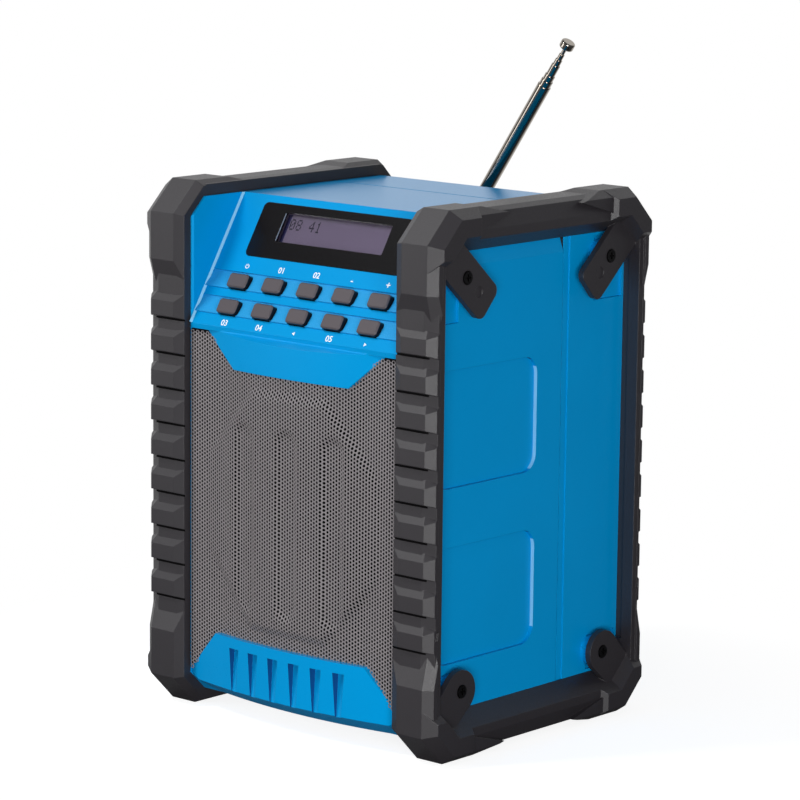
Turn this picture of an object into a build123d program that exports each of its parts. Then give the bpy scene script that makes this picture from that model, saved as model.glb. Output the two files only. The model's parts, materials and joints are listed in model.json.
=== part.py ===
from build123d import *
import math
import os

os.makedirs("parts", exist_ok=True)

# ------------------------------------------------------------------
# Jobsite radio.  Millimetres, +Z up, front towards -Y, feet on Z = 0.
# ------------------------------------------------------------------

# overall sizes, which the others start from
ringHeight = 250.0        # feet to top of the bumper rings
ringHalfDepth = 77.9      # front face of the rings to the middle of the radio
bodyHalfX = 78.0          # outer side of the cabinet
fit = 0.05                # running clearance of tubes and shafts, on the radius

# bumper rings, one at each side
ringCorner = 14.4         # 45 degree cut at the four corners
ringInnerX = bodyHalfX - 12.4     # edge beside the front panel
ringCreaseInX = ringInnerX + 4.7  # where the inner bevel ends
ringCreaseOutX = bodyHalfX + 7.1  # where the outer bevel starts
ringInnerBevel = 2.4      # fall of the inner bevel
ringRibX = ringCreaseOutX + 3.6   # outer side of the ribs
ribFall = 4.0             # fall of their outer bevel
ringBlockX = ringCreaseOutX + 4.4 # outer side of the blocks
blockFall = 3.3
ringOuterX = ringCreaseOutX + 6.5 # outer side of the four corner blocks
cornerFall = 4.1
ringBaseX = ringCreaseOutX + 3.4  # outer side of the plain bars
baseFoldX = ringCreaseOutX - 3.0  # the bars' front bends back from here
baseFall = 2.8
barDrop = 1.4             # top and bottom bars lie this far inside the blocks
barBevelFall = 8.6        # long bevel along the top and bottom bars
ribDepth = 2.0            # ribs stand this far above the side bars
ribPitch = 16.6
ribCount = 9
ribLowZ = 54.2            # underside of the lowest rib
ribFace = 7.3
ribRamp = 2.9
ribUnder = 0.3            # the underside dips this much per mm of depth
slotHeight = 1.3          # dark slot under each rib
slotDepth = 1.1
upperBlockZ = ringHeight - 36.7   # where the upper blocks start on the side bars
upperRamp = 7.0
lowerBlockZ = 36.7
lowerRamp = 8.8
blockEndY = ringHalfDepth - 35.9  # corner blocks reach this far along the top bar
blockEndRamp = 6.0
cornerEndY = ringHalfDepth - 33.5
cornerRamp = 4.4
cornerLow = 27.0          # corner blocks reach this far down from the top
openingHalfY = ringHalfDepth - 8.9    # side bars, measured at the open side
openingTop = 11.9         # top bar, measured at the open side
openingCut = 10.5
openingBevel = 9.3        # the opening narrows by this much inwards
undercutX = bodyHalfX + 4.3
undercutY = ringHalfDepth - 7.3
undercutEnd = 34.0

# cabinet, two blue shells
bodyHalfDepth = ringHalfDepth - 6.7
bodyLow = 7.8
bodyHigh = ringHeight - 7.0
cutFrontTop = 8.7
cutRearTop = 11.2
cutLow = 9.4
wall = 2.5
sideWall = 4.0
seamY = 26.0              # where the front shell meets the rear shell
seamGap = 1.0
edgeGap = 0.4

# console, the sloped panel with the display and the buttons
consoleHalfX = bodyHalfX - 13.6
cheekWall = 2.5
slopeY = 0.8 - bodyHalfDepth      # a point on the slope
slopeZ = bodyHigh - 54.7
slopeAngle = 31.35        # degrees from upright
slopeWall = 3.5
noseV = -4.0
noseY = slopeY - 1.6
noseZ = slopeZ - 5.9      # underside of the nose, top edge of the speaker opening
cornerStrip = 0.9         # bevel between the console and the cheeks

# arched front: speaker grille, apron and kick pad
archRadius = 291.0
apronY = -4.5 - bodyHalfDepth     # foremost point of the apron
padY = -6.4 - bodyHalfDepth
grilleY = -3.7 - bodyHalfDepth
fieldY = -5.5 - bodyHalfDepth
marginY = -0.4 - bodyHalfDepth    # flat margin at both sides of the grille
baffleY = 4.7 - bodyHalfDepth
openingLowZ = 14.6
panelHalfX = ringInnerX - 0.3     # grille and pad reach the rings
apronLowX = 35.6
apronHighX = 55.8
apronLowZ = noseZ - 16.4
apronRidgeZ = noseZ - 2.1
padHighX = 46.6
padHighZ = 39.6
padSideZ = 19.8
padLowX = 60.0
padLowZ = 14.6
padUnder = 10.7           # the underside runs back by this much
notchCount = 6
notchPitch = 13.15
notchWidth = 6.4
notchLowWidth = 2.8
notchHighZ = 34.7
notchLowZ = 12.4
notchDeep = 3.9
notchShallow = 0.5

# grille sheet
grilleThickness = 0.8
fieldHalfX = 55.2
fieldHighZ = noseZ - 22.4
fieldLowZ = 45.0
fieldCutX = 23.5
fieldMidX = 46.0
fieldMidRise = 24.6
fieldShoulder = 35.0
grooveHalf = 5.5
groovePitch = 27.4
grooveLowZ = fieldLowZ + 9.5
grooveHighZ = fieldHighZ - 18.5
clothThickness = 0.4
clothGap = 0.3

# display
bezelHalfX = 48.0
bezelLowV = 32.6
bezelHighV = 60.2
bezelProud = 0.3
bezelSeat = 1.2
windowHalfX = 33.0
windowLowV = 41.2
windowHighV = 56.2

# buttons
buttonWidth = 12.0
buttonHeight = 7.1
buttonRound = 1.6
buttonPitch = 21.8
buttonProud = 2.8
buttonBevel = 0.6
buttonTravel = 1.0
buttonGap = 0.35
bandHigh = 5.3            # each band reaches this far above and below its row
bandLow = 3.7
bandTilt = 0.75
rowUpperV = 18.8
rowLowerV = 5.7

# tabs that carry the bumper screws
tabX = bodyHalfX + 7.7
tabThickness = 3.0
tabLean = 42.0
tabHalf = 9.2
tabReach = 21.0
tabRound = 4.0
screwY = bodyHalfDepth - 20.2
upperScrewZ = ringHeight - 31.0
lowerScrewZ = 31.3
screwRadius = 1.5
headRadius = 2.9
bossRadius = 7.0
pilotGap = 0.05

# screws that hold the two shells together
shellScrewX = bodyHalfX - 8.0
shellScrewZ = [30.0, ringHeight - 45.0]
postRadius = 4.0

# speaker
speakerZ = 98.0
speakerHole = 46.0
speakerRim = 51.0
lugCircle = 53.0

# battery compartment and its door
cellRadius = 13.0
cellLength = 47.0
cellPitch = 26.2
cellY = bodyHalfDepth - 16.5
boxHalfX = 54.0
boxLowZ = 24.0
boxHighZ = 103.0
boxFrontY = bodyHalfDepth - 29.7
boxWall = 1.5
doorHalfX = 57.2
doorLowZ = 18.8
doorHighZ = 107.0
gap = 0.3
doorHingeY = bodyHalfDepth + 1.8
doorHingeZ = 16.2
hingeRadius = 1.5
hingePin = 0.8

# socket cover
portX = 38.0
portHalfX = 18.7
portLowZ = 120.3
portHighZ = 141.7
portThickness = 1.5
portHingeY = bodyHalfDepth + 1.7
portHingeZ = 143.2
portHingeRadius = 1.3
portPin = 0.6
socketZ = 131.0

# circuit board
boardY = 32.0
boardThickness = 1.6
boardLowZ = 128.0
boardHighZ = 200.0

# telescopic aerial
aerialX = -28.4
aerialY = bodyHalfDepth + 5.3
aerialZ = bodyHigh - 28.6
aerialLean = 33.9         # degrees to the right of upright
forkRound = 2.9
knuckleHalf = 2.95
tubeStart = 8.0
mainRadius = 3.35
stepRadius = 0.4          # each section is this much thinner than the one before
sectionEnds = [96.3, 99.4, 105.4, 108.6, 111.8]
mainEnd = 93.2
tipStart = 115.4
tipLength = 3.8
tipRadius = 3.5


def save(piece, name):
    piece.part.label = name
    export_step(piece.part, "parts/" + name + ".step")


def octagon(depth, low, high, frontTop, rearTop, lowCut, inset=0.0):
    # cut-cornered outline seen from the side; the ring and the cabinet both use it
    d = depth - inset
    lo = low + inset
    hi = high - inset
    k = inset * (2.0 - math.sqrt(2.0))
    f = frontTop - k
    r = rearTop - k
    c = lowCut - k
    return [(-d, lo + c), (-d + c, lo), (d - c, lo), (d, lo + c),
            (d, hi - r), (d - r, hi), (-d + f, hi), (-d, hi - f)]


def ringLoop(inset=0.0):
    c = ringCorner
    return octagon(ringHalfDepth, 0.0, ringHeight, c, c, c, inset)


def baseLoop(inset=0.0):
    c = ringCorner + (barDrop + ribDepth) - ribDepth * math.sqrt(2.0)
    return octagon(ringHalfDepth - ribDepth, barDrop, ringHeight - barDrop, c, c, c, inset)


def bodyLoop(inset=0.0):
    return octagon(bodyHalfDepth, bodyLow, bodyHigh, cutFrontTop, cutRearTop, cutLow, inset)


def slab(points, x0, x1, mode=Mode.ADD):
    # an outline in the side view, drawn out from x0 to x1
    with BuildSketch(Plane.YZ.offset(x0)) as face:
        Polygon(*points, align=None)
    extrude(face.sketch, amount=x1 - x0, dir=(1, 0, 0), mode=mode)


def frontSlab(points, y0, y1, mode=Mode.ADD):
    # an outline in the front view, drawn from y0 back to y1
    with BuildSketch(Plane.XZ.offset(-y0)) as face:
        Polygon(*points, align=None)
    extrude(face.sketch, amount=y1 - y0, dir=(0, 1, 0), mode=mode)


def bevelSlab(pointsA, xA, pointsB, xB, mode=Mode.ADD):
    # one side-view outline at xA blended straight to another at xB
    with BuildSketch(Plane.YZ.offset(xA)) as near:
        Polygon(*pointsA, align=None)
    with BuildSketch(Plane.YZ.offset(xB)) as off:
        Polygon(*pointsB, align=None)
    loft([near.sketch.face(), off.sketch.face()], ruled=True, mode=mode)


def block(x0, x1, y0, y1, z0, z1, mode=Mode.ADD):
    with Locations(((x0 + x1) / 2, (y0 + y1) / 2, (z0 + z1) / 2)):
        Box(abs(x1 - x0), abs(y1 - y0), abs(z1 - z0), mode=mode)


def rod(x, y, z, radius, length, axis, mode=Mode.ADD):
    # a round bar centred on (x, y, z) along X, Y or Z
    turn = {"X": (0, 90, 0), "Y": (90, 0, 0), "Z": (0, 0, 0)}[axis]
    with Locations(Location((x, y, z), turn)):
        Cylinder(radius, length, mode=mode)


def rodY(x, z, radius, y0, y1, mode=Mode.ADD):
    rod(x, (y0 + y1) / 2, z, radius, y1 - y0, "Y", mode)


def rodX(y, z, radius, x0, x1, mode=Mode.ADD):
    rod((x0 + x1) / 2, y, z, radius, abs(x1 - x0), "X", mode)


# slope directions: up along the console, and out of it
upY = math.sin(math.radians(slopeAngle))
upZ = math.cos(math.radians(slopeAngle))
outY = -upZ
outZ = upY
topV = (bodyHigh - slopeZ) / upZ


def onSlope(v, n):
    return (slopeY + v * upY + n * outY, slopeZ + v * upZ + n * outZ)


def slopeTile(x, v, width, height, round, n0, n1, mode=Mode.ADD):
    # rounded tile lying in the slope, from depth n0 up to n1
    y, z = onSlope(0.0, n0)
    with BuildSketch(Plane(origin=(0, y, z), x_dir=(1, 0, 0), z_dir=(0, outY, outZ))) as face:
        with Locations((x, v)):
            RectangleRounded(width, height, round)
    extrude(face.sketch, amount=n1 - n0, dir=(0, outY, outZ), mode=mode)


def spun(points, mode=Mode.ADD):
    # (radius, y) outline turned about the speaker axis
    with BuildSketch(Plane.XY.offset(speakerZ)) as face:
        Polygon(*points, align=None)
    revolve(face.sketch, axis=Axis((0, 0, speakerZ), (0, 1, 0)), mode=mode)


def arched(points, frontY, backY, mode=Mode.ADD):
    # front-view outline whose front follows the arch, foremost at frontY
    with BuildPart(mode=Mode.PRIVATE) as piece:
        frontSlab(points, frontY - 1, backY)
        with Locations((0, frontY + archRadius, ringHeight / 2)):
            Cylinder(archRadius, ringHeight * 2, mode=Mode.INTERSECT)
    add(piece.part, mode=mode)


# ------------------------------------------------------------------
# bumper rings
# ------------------------------------------------------------------
baseY = ringHalfDepth - ribDepth
far = ringHalfDepth + 3.0
deep = 4.0

# full section of the ring, kept only where blocks or ribs stand
with BuildPart() as blockRing:
    bevelSlab(ringLoop(ringInnerBevel), ringInnerX, ringLoop(), ringCreaseInX)
    slab(ringLoop(), ringCreaseInX, ringCreaseOutX)
    bevelSlab(ringLoop(), ringCreaseOutX, ringLoop(blockFall), ringBlockX)

with BuildPart() as ribRing:
    bevelSlab(ringLoop(ringInnerBevel), ringInnerX, ringLoop(), ringCreaseInX)
    slab(ringLoop(), ringCreaseInX, ringCreaseOutX)
    bevelSlab(ringLoop(), ringCreaseOutX, ringLoop(ribFall), ringRibX)

# where the blocks stand
x0 = ringInnerX - 1
x1 = ringOuterX + 1
with BuildPart() as blockMask:
    rise = upperRamp / ribDepth
    fall = lowerRamp / ribDepth
    slab([(-far, upperBlockZ), (-ringHalfDepth, upperBlockZ),
          (-baseY + deep, upperBlockZ - rise * (ribDepth + deep)), (-baseY + deep, ringHeight + 2),
          (-far, ringHeight + 2)], x0, x1)
    slab([(-far, -2), (-baseY + deep, -2), (-baseY + deep, lowerBlockZ + fall * (ribDepth + deep)),
          (-ringHalfDepth, lowerBlockZ), (-far, lowerBlockZ)], x0, x1)
    # second ramp planes, which keep the ramps level over the outer bevel
    lean = blockFall / (ringBlockX - ringCreaseOutX)
    for z, way, slope in ((upperBlockZ, 1, rise), (lowerBlockZ, -1, fall)):
        tilted = Plane(origin=(ringCreaseOutX, -ringHalfDepth, z), x_dir=(1, 0, way * slope * lean),
                       z_dir=(-way * slope * lean, way * slope, 1))
        with Locations(tilted):
            Box(40, 60, 20, align=(Align.CENTER, Align.CENTER, Align.MAX if way > 0 else Align.MIN),
                mode=Mode.SUBTRACT)
    end = blockEndRamp / barDrop
    slab([(-far, ringHeight + 2), (-far, ringHeight - 20), (-blockEndY + end * deep, ringHeight - deep),
          (-blockEndY, ringHeight), (-blockEndY, ringHeight + 2)], x0, x1)
    slab([(-far, -2), (-far, 20), (-blockEndY + end * deep, deep), (-blockEndY, 0), (-blockEndY, -2)],
         x0, x1)
    mirror(about=Plane.XZ)

# where the ribs stand: dipping underside, ramp on top, and a second ramp over the outer bevel
with BuildPart() as ribMask:
    slope = ribRamp / ribDepth
    under = far - ringHalfDepth
    for k in range(ribCount):
        z = ribLowZ + k * ribPitch
        top = z + ribFace
        slab([(-far, z + ribUnder * under), (-baseY + deep, z - ribUnder * (ribDepth + deep)),
              (-baseY + deep, top + slope * (ribDepth + deep)), (-ringHalfDepth, top), (-far, top)], x0, x1)
        tilted = Plane(origin=(ringCreaseOutX, -ringHalfDepth, top), x_dir=(1, 0, -0.69), z_dir=(0.69, -1, 1))
        with Locations(tilted):
            Box(30, 40, 6, align=(Align.CENTER, Align.CENTER, Align.MIN), mode=Mode.SUBTRACT)
    mirror(about=Plane.XZ)

# the bulging corner blocks, wider than the bars they join
with BuildPart() as cornerBlock:
    s = cornerFall
    d = ringHalfDepth
    h = ringHeight
    c = ringCorner
    cs = c - s * (2.0 - math.sqrt(2.0))
    low = h - cornerLow
    bevelSlab([(-d, low), (-d, h - c), (-d + c, h), (-cornerEndY, h), (-cornerEndY, low)], ringCreaseOutX,
              [(-d + s, low + 5.7), (-d + s, h - s - cs), (-d + s + cs, h - s),
               (-cornerEndY - cornerRamp, h - s), (-cornerEndY - cornerRamp, low + 5.7)], ringOuterX)
    mirror(about=Plane.XZ)
    mirror(about=Plane.XY.offset(ringHeight / 2))

with BuildPart() as bumper_right:
    # plain bars, their inner edge level with the blocks' bevel
    bevelSlab(baseLoop(ringInnerBevel - ribDepth), ringInnerX, baseLoop(), ringCreaseInX)
    slab(baseLoop(), ringCreaseInX, baseFoldX)
    bevelSlab(baseLoop(), baseFoldX, baseLoop(baseFall), ringBaseX)
    # long bevel along the top and bottom bars
    for z0, z1 in ((ringHeight - barDrop, ringHeight - barDrop - barBevelFall),
                   (barDrop, barDrop + barBevelFall)):
        away = z0 + (z0 - z1) * 0.2
        with BuildSketch(Plane.XZ.offset(-60)) as face:
            Polygon((ringCreaseOutX, z0), (ringCreaseOutX, away), (ringBaseX + 1, away),
                    (ringBaseX + 1, z1), (ringBaseX, z1), align=None)
        extrude(face.sketch, amount=120, dir=(0, -1, 0), mode=Mode.SUBTRACT)
    add(blockRing.part & blockMask.part)
    add(ribRing.part & ribMask.part)
    add(cornerBlock.part)
    # dark slots under the ribs
    for k in range(ribCount):
        z = ribLowZ + k * ribPitch
        front = z - ribUnder * (ribDepth - 3.0)
        back = z - ribUnder * (ribDepth + slotDepth)
        for side in (-1, 1):
            inY = side * (baseY - slotDepth)
            outside = side * (baseY + 3)
            slab([(outside, front), (inY, back), (inY, back - slotHeight * 0.7),
                  (outside, front - slotHeight)],
                 ringInnerX - 1, ringRibX - 1.2, Mode.SUBTRACT)
    # room for the cabinet
    slab(bodyLoop(), ringInnerX - 2, bodyHalfX, Mode.SUBTRACT)
    # side opening, wider outside than inside along top and bottom
    m = ringHeight
    o = openingHalfY
    t = openingTop
    u = openingTop + openingBevel
    c = openingCut
    inner = [(-o, u + c), (c - o, u), (o - c, u), (o, u + c), (o, m - u - c), (o - c, m - u), (c - o, m - u),
             (-o, m - u - c)]
    outer = [(-o, t + c), (c - o, t), (o - c, t), (o, t + c), (o, m - t - c), (o - c, m - t), (c - o, m - t),
             (-o, m - t - c)]
    bevelSlab(inner, bodyHalfX - 1, outer, ringOuterX + 0.4, Mode.SUBTRACT)
    block(bodyHalfX - 1, undercutX, -undercutY, undercutY, undercutEnd, ringHeight - undercutEnd,
          Mode.SUBTRACT)
    # tabs
    lean = math.radians(tabLean)
    for side in (-1, 1):
        dirY = -side * math.cos(lean)
        dirZ = -math.sin(lean)
        acrossY = side * math.sin(lean)
        acrossZ = -math.cos(lean)
        corners = []
        for a, b in ((-1, -1), (1, -1), (1, 1), (-1, 1)):
            corners.append((side * screwY + a * tabReach * dirY + b * tabHalf * acrossY,
                            upperScrewZ + a * tabReach * dirZ + b * tabHalf * acrossZ))
        slab(corners, tabX - tabThickness, tabX)
        rodX(side * (screwY + 0.7), lowerScrewZ, 10, tabX - tabThickness, tabX)
        slab([(side * (screwY - 6.4), lowerScrewZ - 7.1), (side * (screwY + 6.5), lowerScrewZ - 18),
              (side * (screwY + 20), lowerScrewZ - 6), (side * (screwY + 7.8), lowerScrewZ + 7.1)],
             tabX - tabThickness, tabX)
    tabEnds = bumper_right.edges().filter_by(Axis.X).filter_by(
        lambda e: abs(e.length - tabThickness) < 0.01 and abs(e.center().Y) < screwY + 9
        and upperScrewZ - 29 < e.center().Z < upperScrewZ - 5)
    fillet(tabEnds, tabRound)
    for side in (-1, 1):
        for z in (upperScrewZ, lowerScrewZ):
            rodX(side * screwY, z, headRadius + 0.3, tabX - 1.6, tabX + 2, Mode.SUBTRACT)
            rodX(side * screwY, z, screwRadius + 0.2, tabX - 5, tabX + 2, Mode.SUBTRACT)
        # shallow dimple beside each upper screw
        rodX(side * (screwY - 7.7), upperScrewZ - 7.2, 2.6, tabX - 0.4, tabX + 2, Mode.SUBTRACT)
save(bumper_right, "bumper_right")

with BuildPart() as bumper_left:
    add(bumper_right.part)
    mirror(about=Plane.YZ, mode=Mode.REPLACE)
save(bumper_left, "bumper_left")

with BuildPart() as bumper_screws:
    for side in (-1, 1):
        for y in (-screwY, screwY):
            for z in (upperScrewZ, lowerScrewZ):
                rodX(y, z, screwRadius, side * (bodyHalfX - 3.0), side * (tabX - 1.6))
                rodX(y, z, headRadius, side * (tabX - 1.6), side * (tabX + 0.4))
                # cross recess
                for a, b in ((0.4, 1.7), (1.7, 0.4)):
                    block(side * (tabX - 0.6), side * (tabX + 1), y - a, y + a, z - b, z + b, Mode.SUBTRACT)
save(bumper_screws, "bumper_screws")

# ------------------------------------------------------------------
# cabinet shells
# ------------------------------------------------------------------
cavityX = bodyHalfX - sideWall
headSeatY = bodyHalfDepth - 5.2     # where the heads of the shell screws sit
cheekX = consoleHalfX + cheekWall


def sideFeatures(ySide):
    # bosses and pockets around the bumper tabs, for the shell on one side of the seam
    for side in (-1, 1):
        y = ySide * screwY
        pocket = side * (bodyHalfX - 1.2)
        for z0, z1 in ((upperScrewZ - 21.2, upperScrewZ + 9.0), (lowerScrewZ - 9.3, lowerScrewZ + 7.1)):
            block(pocket, side * (bodyHalfX + 1), ySide * (screwY - 3), ySide * (screwY + 18), z0, z1,
                  Mode.SUBTRACT)
        for z in (upperScrewZ, lowerScrewZ):
            rodX(y, z, bossRadius, pocket, side * (tabX - tabThickness))
            rodX(y, z, 4.0, side * (bodyHalfX - 6.0), pocket)
            rodX(y, z, screwRadius + pilotGap, side * (bodyHalfX - 3.5), side * (tabX + 1), Mode.SUBTRACT)


apronPoints = [(-apronHighX, noseZ + 0.6), (-apronLowX, apronLowZ), (apronLowX, apronLowZ),
               (apronHighX, noseZ + 0.6)]
padPoints = [(-padHighX, padHighZ), (-panelHalfX, padSideZ), (-panelHalfX, padLowZ + 2), (-padLowX, padLowZ),
             (padLowX, padLowZ), (panelHalfX, padLowZ + 2), (panelHalfX, padSideZ), (padHighX, padHighZ)]

with BuildPart() as front_housing:
    slab(bodyLoop(), -bodyHalfX, bodyHalfX)
    block(-90, 90, seamY - seamGap / 2, 90, -10, 260, Mode.SUBTRACT)
    slab(bodyLoop(wall), -cavityX, cavityX, Mode.SUBTRACT)
    # clear the wedge above the console and the speaker opening
    slab([(-90, noseZ), (baffleY, noseZ), (baffleY, slopeZ), onSlope(topV, -slopeWall),
          (onSlope(topV, -slopeWall)[0], 260), (-90, 260)], -consoleHalfX, consoleHalfX, Mode.SUBTRACT)
    block(-consoleHalfX, consoleHalfX, -90, baffleY, openingLowZ, noseZ, Mode.SUBTRACT)
    # console plate with its nose
    backY, backZ = onSlope(topV, -slopeWall)
    slab([(onSlope(topV, 0)[0], bodyHigh), onSlope(noseV, 0), (noseY, noseZ), (baffleY, noseZ),
          (baffleY, slopeZ - 0.35), (backY, backZ), (backY, bodyHigh)], -consoleHalfX, consoleHalfX)
    # cheeks beside the console and the speaker opening
    for side in (-1, 1):
        lift = bodyLow + cutLow - openingLowZ
        slab([(-bodyHalfDepth + lift, openingLowZ), (-bodyHalfDepth, bodyLow + cutLow),
              (-bodyHalfDepth, bodyHigh - cutFrontTop),
              (-bodyHalfDepth + cutFrontTop, bodyHigh), (backY, bodyHigh), (backY, backZ - 3),
              (baffleY + wall, slopeZ), (baffleY + wall, openingLowZ)],
             side * consoleHalfX, side * cheekX)
        x = side * consoleHalfX
        with BuildSketch(Plane.XY.offset(noseZ)) as face:
            Polygon((x, -bodyHalfDepth), (x + side * 0.7, -bodyHalfDepth - 0.01), (x, -bodyHalfDepth + 1.0),
                    align=None)
        extrude(face.sketch, amount=60, dir=(0, 0, 1), mode=Mode.SUBTRACT)
        behind = marginY + grilleThickness + clothThickness + 2 * clothGap
        block(x - side, side * (ringInnerX + 0.3), -90, behind, openingLowZ, noseZ, Mode.SUBTRACT)
    # baffle
    block(-cheekX, cheekX, baffleY, baffleY + wall, bodyLow + 5.0, slopeZ - 2.9)
    rodY(0, speakerZ, speakerHole, baffleY - 1, baffleY + wall + 1, Mode.SUBTRACT)
    # apron, hollow behind
    arched(apronPoints, apronY, baffleY)
    frontSlab([(-apronHighX + 8, noseZ - 2.5), (-apronLowX + 1, apronLowZ + 2.5),
               (apronLowX - 1, apronLowZ + 2.5), (apronHighX - 8, noseZ - 2.5)],
              apronY + 6.5, baffleY + wall + 1, Mode.SUBTRACT)
    # ridge along the top of the apron
    slab([(apronY - 2, apronRidgeZ - 1.1), (apronY - 2, noseZ + 2), (noseY, noseZ + 2), (noseY - 0.2, noseZ)],
         -apronHighX - 2, apronHighX + 2, Mode.SUBTRACT)
    slab([onSlope(noseV, 0), (noseY, noseZ), (noseY + 4, noseZ), (noseY + 4, slopeZ)],
         -consoleHalfX, consoleHalfX)
    # kick pad; its underside slopes back to the floor of the cabinet and follows the arch
    arched(padPoints, padY, baffleY + wall)
    with BuildPart(mode=Mode.PRIVATE) as underside:
        block(-padLowX, padLowX, padY - 1, cutLow - bodyHalfDepth, bodyLow, padLowZ)
        with Locations((0, padY + archRadius, bodyLow)):
            Cone(archRadius - padUnder, archRadius, padLowZ - bodyLow,
                 align=(Align.CENTER, Align.CENTER, Align.MIN), mode=Mode.INTERSECT)
    add(underside.part)
    # notches in the pad: one slanting floor plane, narrower at the bottom
    for k in range(notchCount):
        x = (k - (notchCount - 1) / 2) * notchPitch
        with BuildPart(mode=Mode.PRIVATE) as notch:
            frontSlab([(x - notchWidth / 2, notchHighZ), (x + notchWidth / 2, notchHighZ),
                       (x + notchLowWidth / 2, notchLowZ), (x - notchLowWidth / 2, notchLowZ)],
                      padY - 2, padY + notchDeep + 3)
            face = padY + x * x / (2 * archRadius)
            slab([(padY - 3, notchHighZ + 1), (face + notchDeep, notchHighZ + 1),
                  (face + notchDeep, notchHighZ), (face + notchShallow, notchLowZ), (padY - 3, notchLowZ)],
                 x - notchWidth, x + notchWidth, Mode.INTERSECT)
        add(notch.part, mode=Mode.SUBTRACT)
    # seat and window of the display
    midV = (bezelLowV + bezelHighV) / 2
    high = bezelHighV - bezelLowV
    slopeTile(0, midV, bezelHalfX * 2 + 0.3, high + 0.3, 2.6, -bezelSeat, 1, Mode.SUBTRACT)
    slopeTile(0, midV, bezelHalfX * 2 - 6, high - 3, 2.0, -slopeWall - 1, 1, Mode.SUBTRACT)
    # two bands, each tilted about its row: proud below, sunk above
    for v in (rowUpperV, rowLowerV):
        slab([onSlope(v - bandLow, -bandTilt), onSlope(v - bandLow, bandTilt),
              onSlope(v + bandHigh, -bandTilt - 0.01), onSlope(v + bandHigh, -bandTilt * 2)],
             -consoleHalfX, consoleHalfX)
        slab([onSlope(v - bandLow, bandTilt), onSlope(v + bandHigh, -bandTilt), onSlope(v + bandHigh, 2)],
             -consoleHalfX, consoleHalfX, Mode.SUBTRACT)
        for k in range(5):
            slopeTile((k - 2) * buttonPitch, v, buttonWidth + 2 * buttonGap, buttonHeight + 2 * buttonGap,
                      buttonRound + buttonGap, -slopeWall - 1, 2, Mode.SUBTRACT)
        # room for the flanges behind the plate
        slopeTile(0, v, 4 * buttonPitch + buttonWidth + 4, buttonHeight + 2.6, 1.0,
                  -slopeWall - 3, -slopeWall, Mode.SUBTRACT)
    # narrow bevel in the corner between the console and each cheek
    startY, startZ = onSlope(noseV, 0)
    for side in (-1, 1):
        with BuildSketch(Plane(origin=(0, startY, startZ), x_dir=(1, 0, 0), z_dir=(0, upY, upZ))) as face:
            Polygon((side * consoleHalfX, 0.5), (side * consoleHalfX, -cornerStrip),
                    (side * (consoleHalfX - cornerStrip), 0), (side * (consoleHalfX - cornerStrip), 0.5),
                    align=None)
        extrude(face.sketch, amount=topV - noseV, dir=(0, upY, upZ))
    block(-consoleHalfX, consoleHalfX, -90, 90, bodyHigh, bodyHigh + 5, Mode.SUBTRACT)
    # posts for the key board and the display board
    for x in (-57, 57):
        for v in (0.5, 24.5):
            slopeTile(x, v, 5, 5, 2.4, -9.4, -slopeWall + 0.5)
    # posts that take the shell screws
    for side in (-1, 1):
        for z in shellScrewZ:
            rodY(side * shellScrewX, z, postRadius, 0, seamY - seamGap / 2)
            block(side * shellScrewX, side * (cavityX + 0.5), 0, seamY - seamGap / 2, z - 2.5, z + 2.5)
            rodY(side * shellScrewX, z, screwRadius + pilotGap, 3, seamY + 5, Mode.SUBTRACT)
    # rounded recesses in the sides
    for side in (-1, 1):
        for low, high in ((42.5, 96.2), (123.2, 176.7)):
            with BuildSketch(Plane.YZ.offset(side * (bodyHalfX - 1.8))) as face:
                with Locations((-27, (low + high) / 2)):
                    RectangleRounded(70, high - low, 8.5)
            extrude(face.sketch, amount=3, dir=(side, 0, 0), mode=Mode.SUBTRACT)
    sideFeatures(-1)
    # bevel above each side panel, from the pocket to the seam
    for side in (-1, 1):
        x = side * bodyHalfX
        with BuildSketch(Plane.XZ.offset(-seamY)) as face:
            Polygon((x, bodyHigh - 20.4), (x - side * 2.2, bodyHigh - 14.4), (x - side * 2.2, bodyHigh - 11),
                    (x + side, bodyHigh - 11), (x + side, bodyHigh - 20.4), align=None)
        extrude(face.sketch, amount=seamY + screwY - 3.1, dir=(0, -1, 0), mode=Mode.SUBTRACT)
save(front_housing, "front_housing")

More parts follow.
